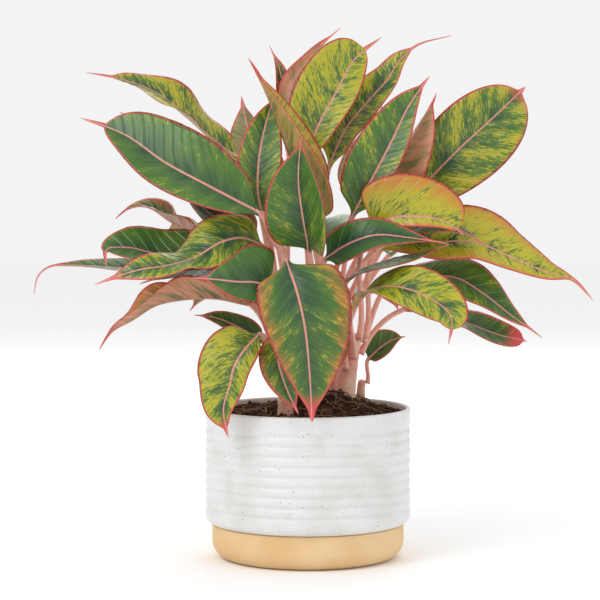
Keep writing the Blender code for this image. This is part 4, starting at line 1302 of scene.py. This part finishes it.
@dataclass
class Pottery:
    """The ribbed pot and the saucer that its foot stands in."""

    pot_radius: float = 87.5 * MM
    pot_height: float = 128.7 * MM
    wall: float = 4 * MM
    floor: float = 7 * MM
    corner: float = 7 * MM
    foot_radius: float = 75 * MM
    drain_radius: float = 9 * MM
    rib_count: int = 9
    rib_pitch: float = 8.5 * MM
    rib_depth: float = 1.3 * MM
    rib_start: float = 12 * MM
    saucer_radius: float = 82 * MM
    saucer_height: float = 29.7 * MM
    saucer_corner: float = 15 * MM
    saucer_floor: float = 6 * MM
    gap: float = 0.3 * MM
    steps: int = 128
    rib_points: int = 8
    rim_rounding: float = 1.2 * MM
    saucer_wall: float = 5 * MM

    def pot_outline(self) -> list[tuple[float, float]]:
        """Section of the pot's wall, outside first.

        Returns:
            Points as radius and height.
        """
        ledge = self.saucer_height + self.gap
        lip = self.wall / 2
        rim = arc((self.pot_radius - lip, self.pot_height - lip), lip, 180, 0, 8)
        ribs = []
        for i in range(self.rib_count):
            for j in range(self.rib_points):
                fall = (i + j / self.rib_points) * self.rib_pitch
                dip = (sin(pi * j / self.rib_points) ** 4) * self.rib_depth
                ribs.append((self.pot_radius - dip, self.pot_height - self.rib_start - fall))
        corner = (self.pot_radius - self.corner, ledge + self.corner)
        foot_bottom = self.saucer_floor + self.gap
        inside = [
            (self.foot_radius, ledge),
            (self.foot_radius, foot_bottom + 3 * MM),
            (self.foot_radius - 3 * MM, foot_bottom),
            (self.drain_radius, foot_bottom),
            (self.drain_radius, foot_bottom + self.floor),
            (self.foot_radius - self.wall, foot_bottom + self.floor),
            (self.foot_radius - self.wall, ledge + self.wall),
            (self.pot_radius - self.wall - self.corner, ledge + self.wall),
            (self.pot_radius - self.wall, ledge + self.wall + self.corner),
        ]
        return rim + ribs + arc(corner, self.corner, 0, -90, 8) + inside

    def saucer_outline(self) -> list[tuple[float, float]]:
        """Half section of the dish, from the middle of its floor over the rim to the underside.

        Returns:
            Points as radius and height.
        """
        inner = self.saucer_radius - self.saucer_wall
        corner = (self.saucer_radius - self.saucer_corner, self.saucer_corner)
        rounding = self.rim_rounding
        rim = arc((self.saucer_radius - rounding, self.saucer_height - rounding), rounding, 90, 0, 4)
        inside = [
            (0, self.saucer_floor),
            (inner - 4 * MM, self.saucer_floor),
            (inner, self.saucer_floor + 4 * MM),
            (inner, self.saucer_height),
        ]
        return inside + rim + arc(corner, self.saucer_corner, 0, -90, 12) + [(0, 0)]

    def build(self, glaze: WhiteGlaze, clay: RawClay) -> None:
        """Make pot and saucer.

        Args:
            glaze: The pot's finish.
            clay: The saucer's finish.
        """
        pot = spin(self.pot_outline(), True, self.steps)
        for vert in pot.verts:
            around = Vector((vert.co.x * 14, vert.co.y * 14, vert.co.z * 30))
            bulge = 1 + 0.004 * noise.noise(around)
            vert.co.x *= bulge
            vert.co.y *= bulge
        finish_piece("pot_body", pot, glaze.make(), "pot")
        dish = spin(self.saucer_outline(), False, self.steps)
        finish_piece("saucer_dish", dish, clay.make(), "saucer")


# ---------------------------------------------------------------- studio

@dataclass
class Studio:
    """Pale floor, soft lights and the camera."""

    eye: Point = (-0.0068, -1.86, 0.329)
    target: Point = (-0.0068, 0.0, 0.22)
    middle: Point = (0.0, 0.0, 0.22)
    floor_half: float = 6.0
    paper: Colour = (0.97, 0.97, 0.97)
    sky: float = 0.9
    lens: float = 131.04

    def lamp(self, name: str, place: Point, size: float, power: float) -> None:
        """A square soft light that looks at the plant.

        Args:
            name: Its name.
            place: Where it stands.
            size: Its side.
            power: Its power in watts.
        """
        data = bpy.data.lights.new(name, "AREA")
        data.shape = "SQUARE"
        data.size = size
        data.energy = power
        light = bpy.data.objects.new(name, data)
        light.location = place
        aim = Vector(self.middle) - Vector(place)
        light.rotation_euler = aim.to_track_quat("-Z", "Y").to_euler()
        bpy.context.scene.collection.objects.link(light)

    def build(self) -> None:
        """Set the stage."""
        scene = bpy.context.scene
        scene.view_settings.view_transform = "Standard"
        world = bpy.data.worlds.new("studio")
        scene.world = world
        world.use_nodes = True
        background = world.node_tree.nodes["Background"]
        background.inputs["Color"].default_value = (1, 1, 1, 1)
        background.inputs["Strength"].default_value = self.sky
        floor = bmesh.new()
        bmesh.ops.create_grid(floor, x_segments=4, y_segments=4, size=self.floor_half)
        mesh = bpy.data.meshes.new("studio_floor")
        floor.to_mesh(mesh)
        floor.free()
        mesh.materials.append(Graph("studio_paper").surface(self.paper, 0.9, 0.1))
        ground = bpy.data.objects.new("studio_floor", mesh)
        scene.collection.objects.link(ground)
        self.lamp("key_light", (-1.1, -1.3, 1.6), 0.9, 13)
        self.lamp("fill_light", (1.5, -1.3, 0.9), 1.2, 3)
        self.lamp("back_light", (0.3, 1.6, 1.5), 1.2, 9)
        data = bpy.data.cameras.new("studio_camera")
        data.lens = self.lens
        data.sensor_width = 36
        camera = bpy.data.objects.new("studio_camera", data)
        camera.location = self.eye
        aim = Vector(self.target) - Vector(self.eye)
        camera.rotation_euler = aim.to_track_quat("-Z", "Y").to_euler()
        scene.collection.objects.link(camera)
        scene.camera = camera


def main() -> None:
    """Dress the frame, piece by piece."""
    logging.basicConfig(level=logging.INFO, format="%(message)s")
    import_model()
    Studio().build()
    ground = Ground()
    ground.build(SoilCrumbs(), RootFibre())
    Pottery().build(WhiteGlaze(), RawClay())
    canes = Canes(ground)
    canes.build(CaneSkin())
    Foliage(canes).build(LeafSkin())


if __name__ == "__main__":
    main()
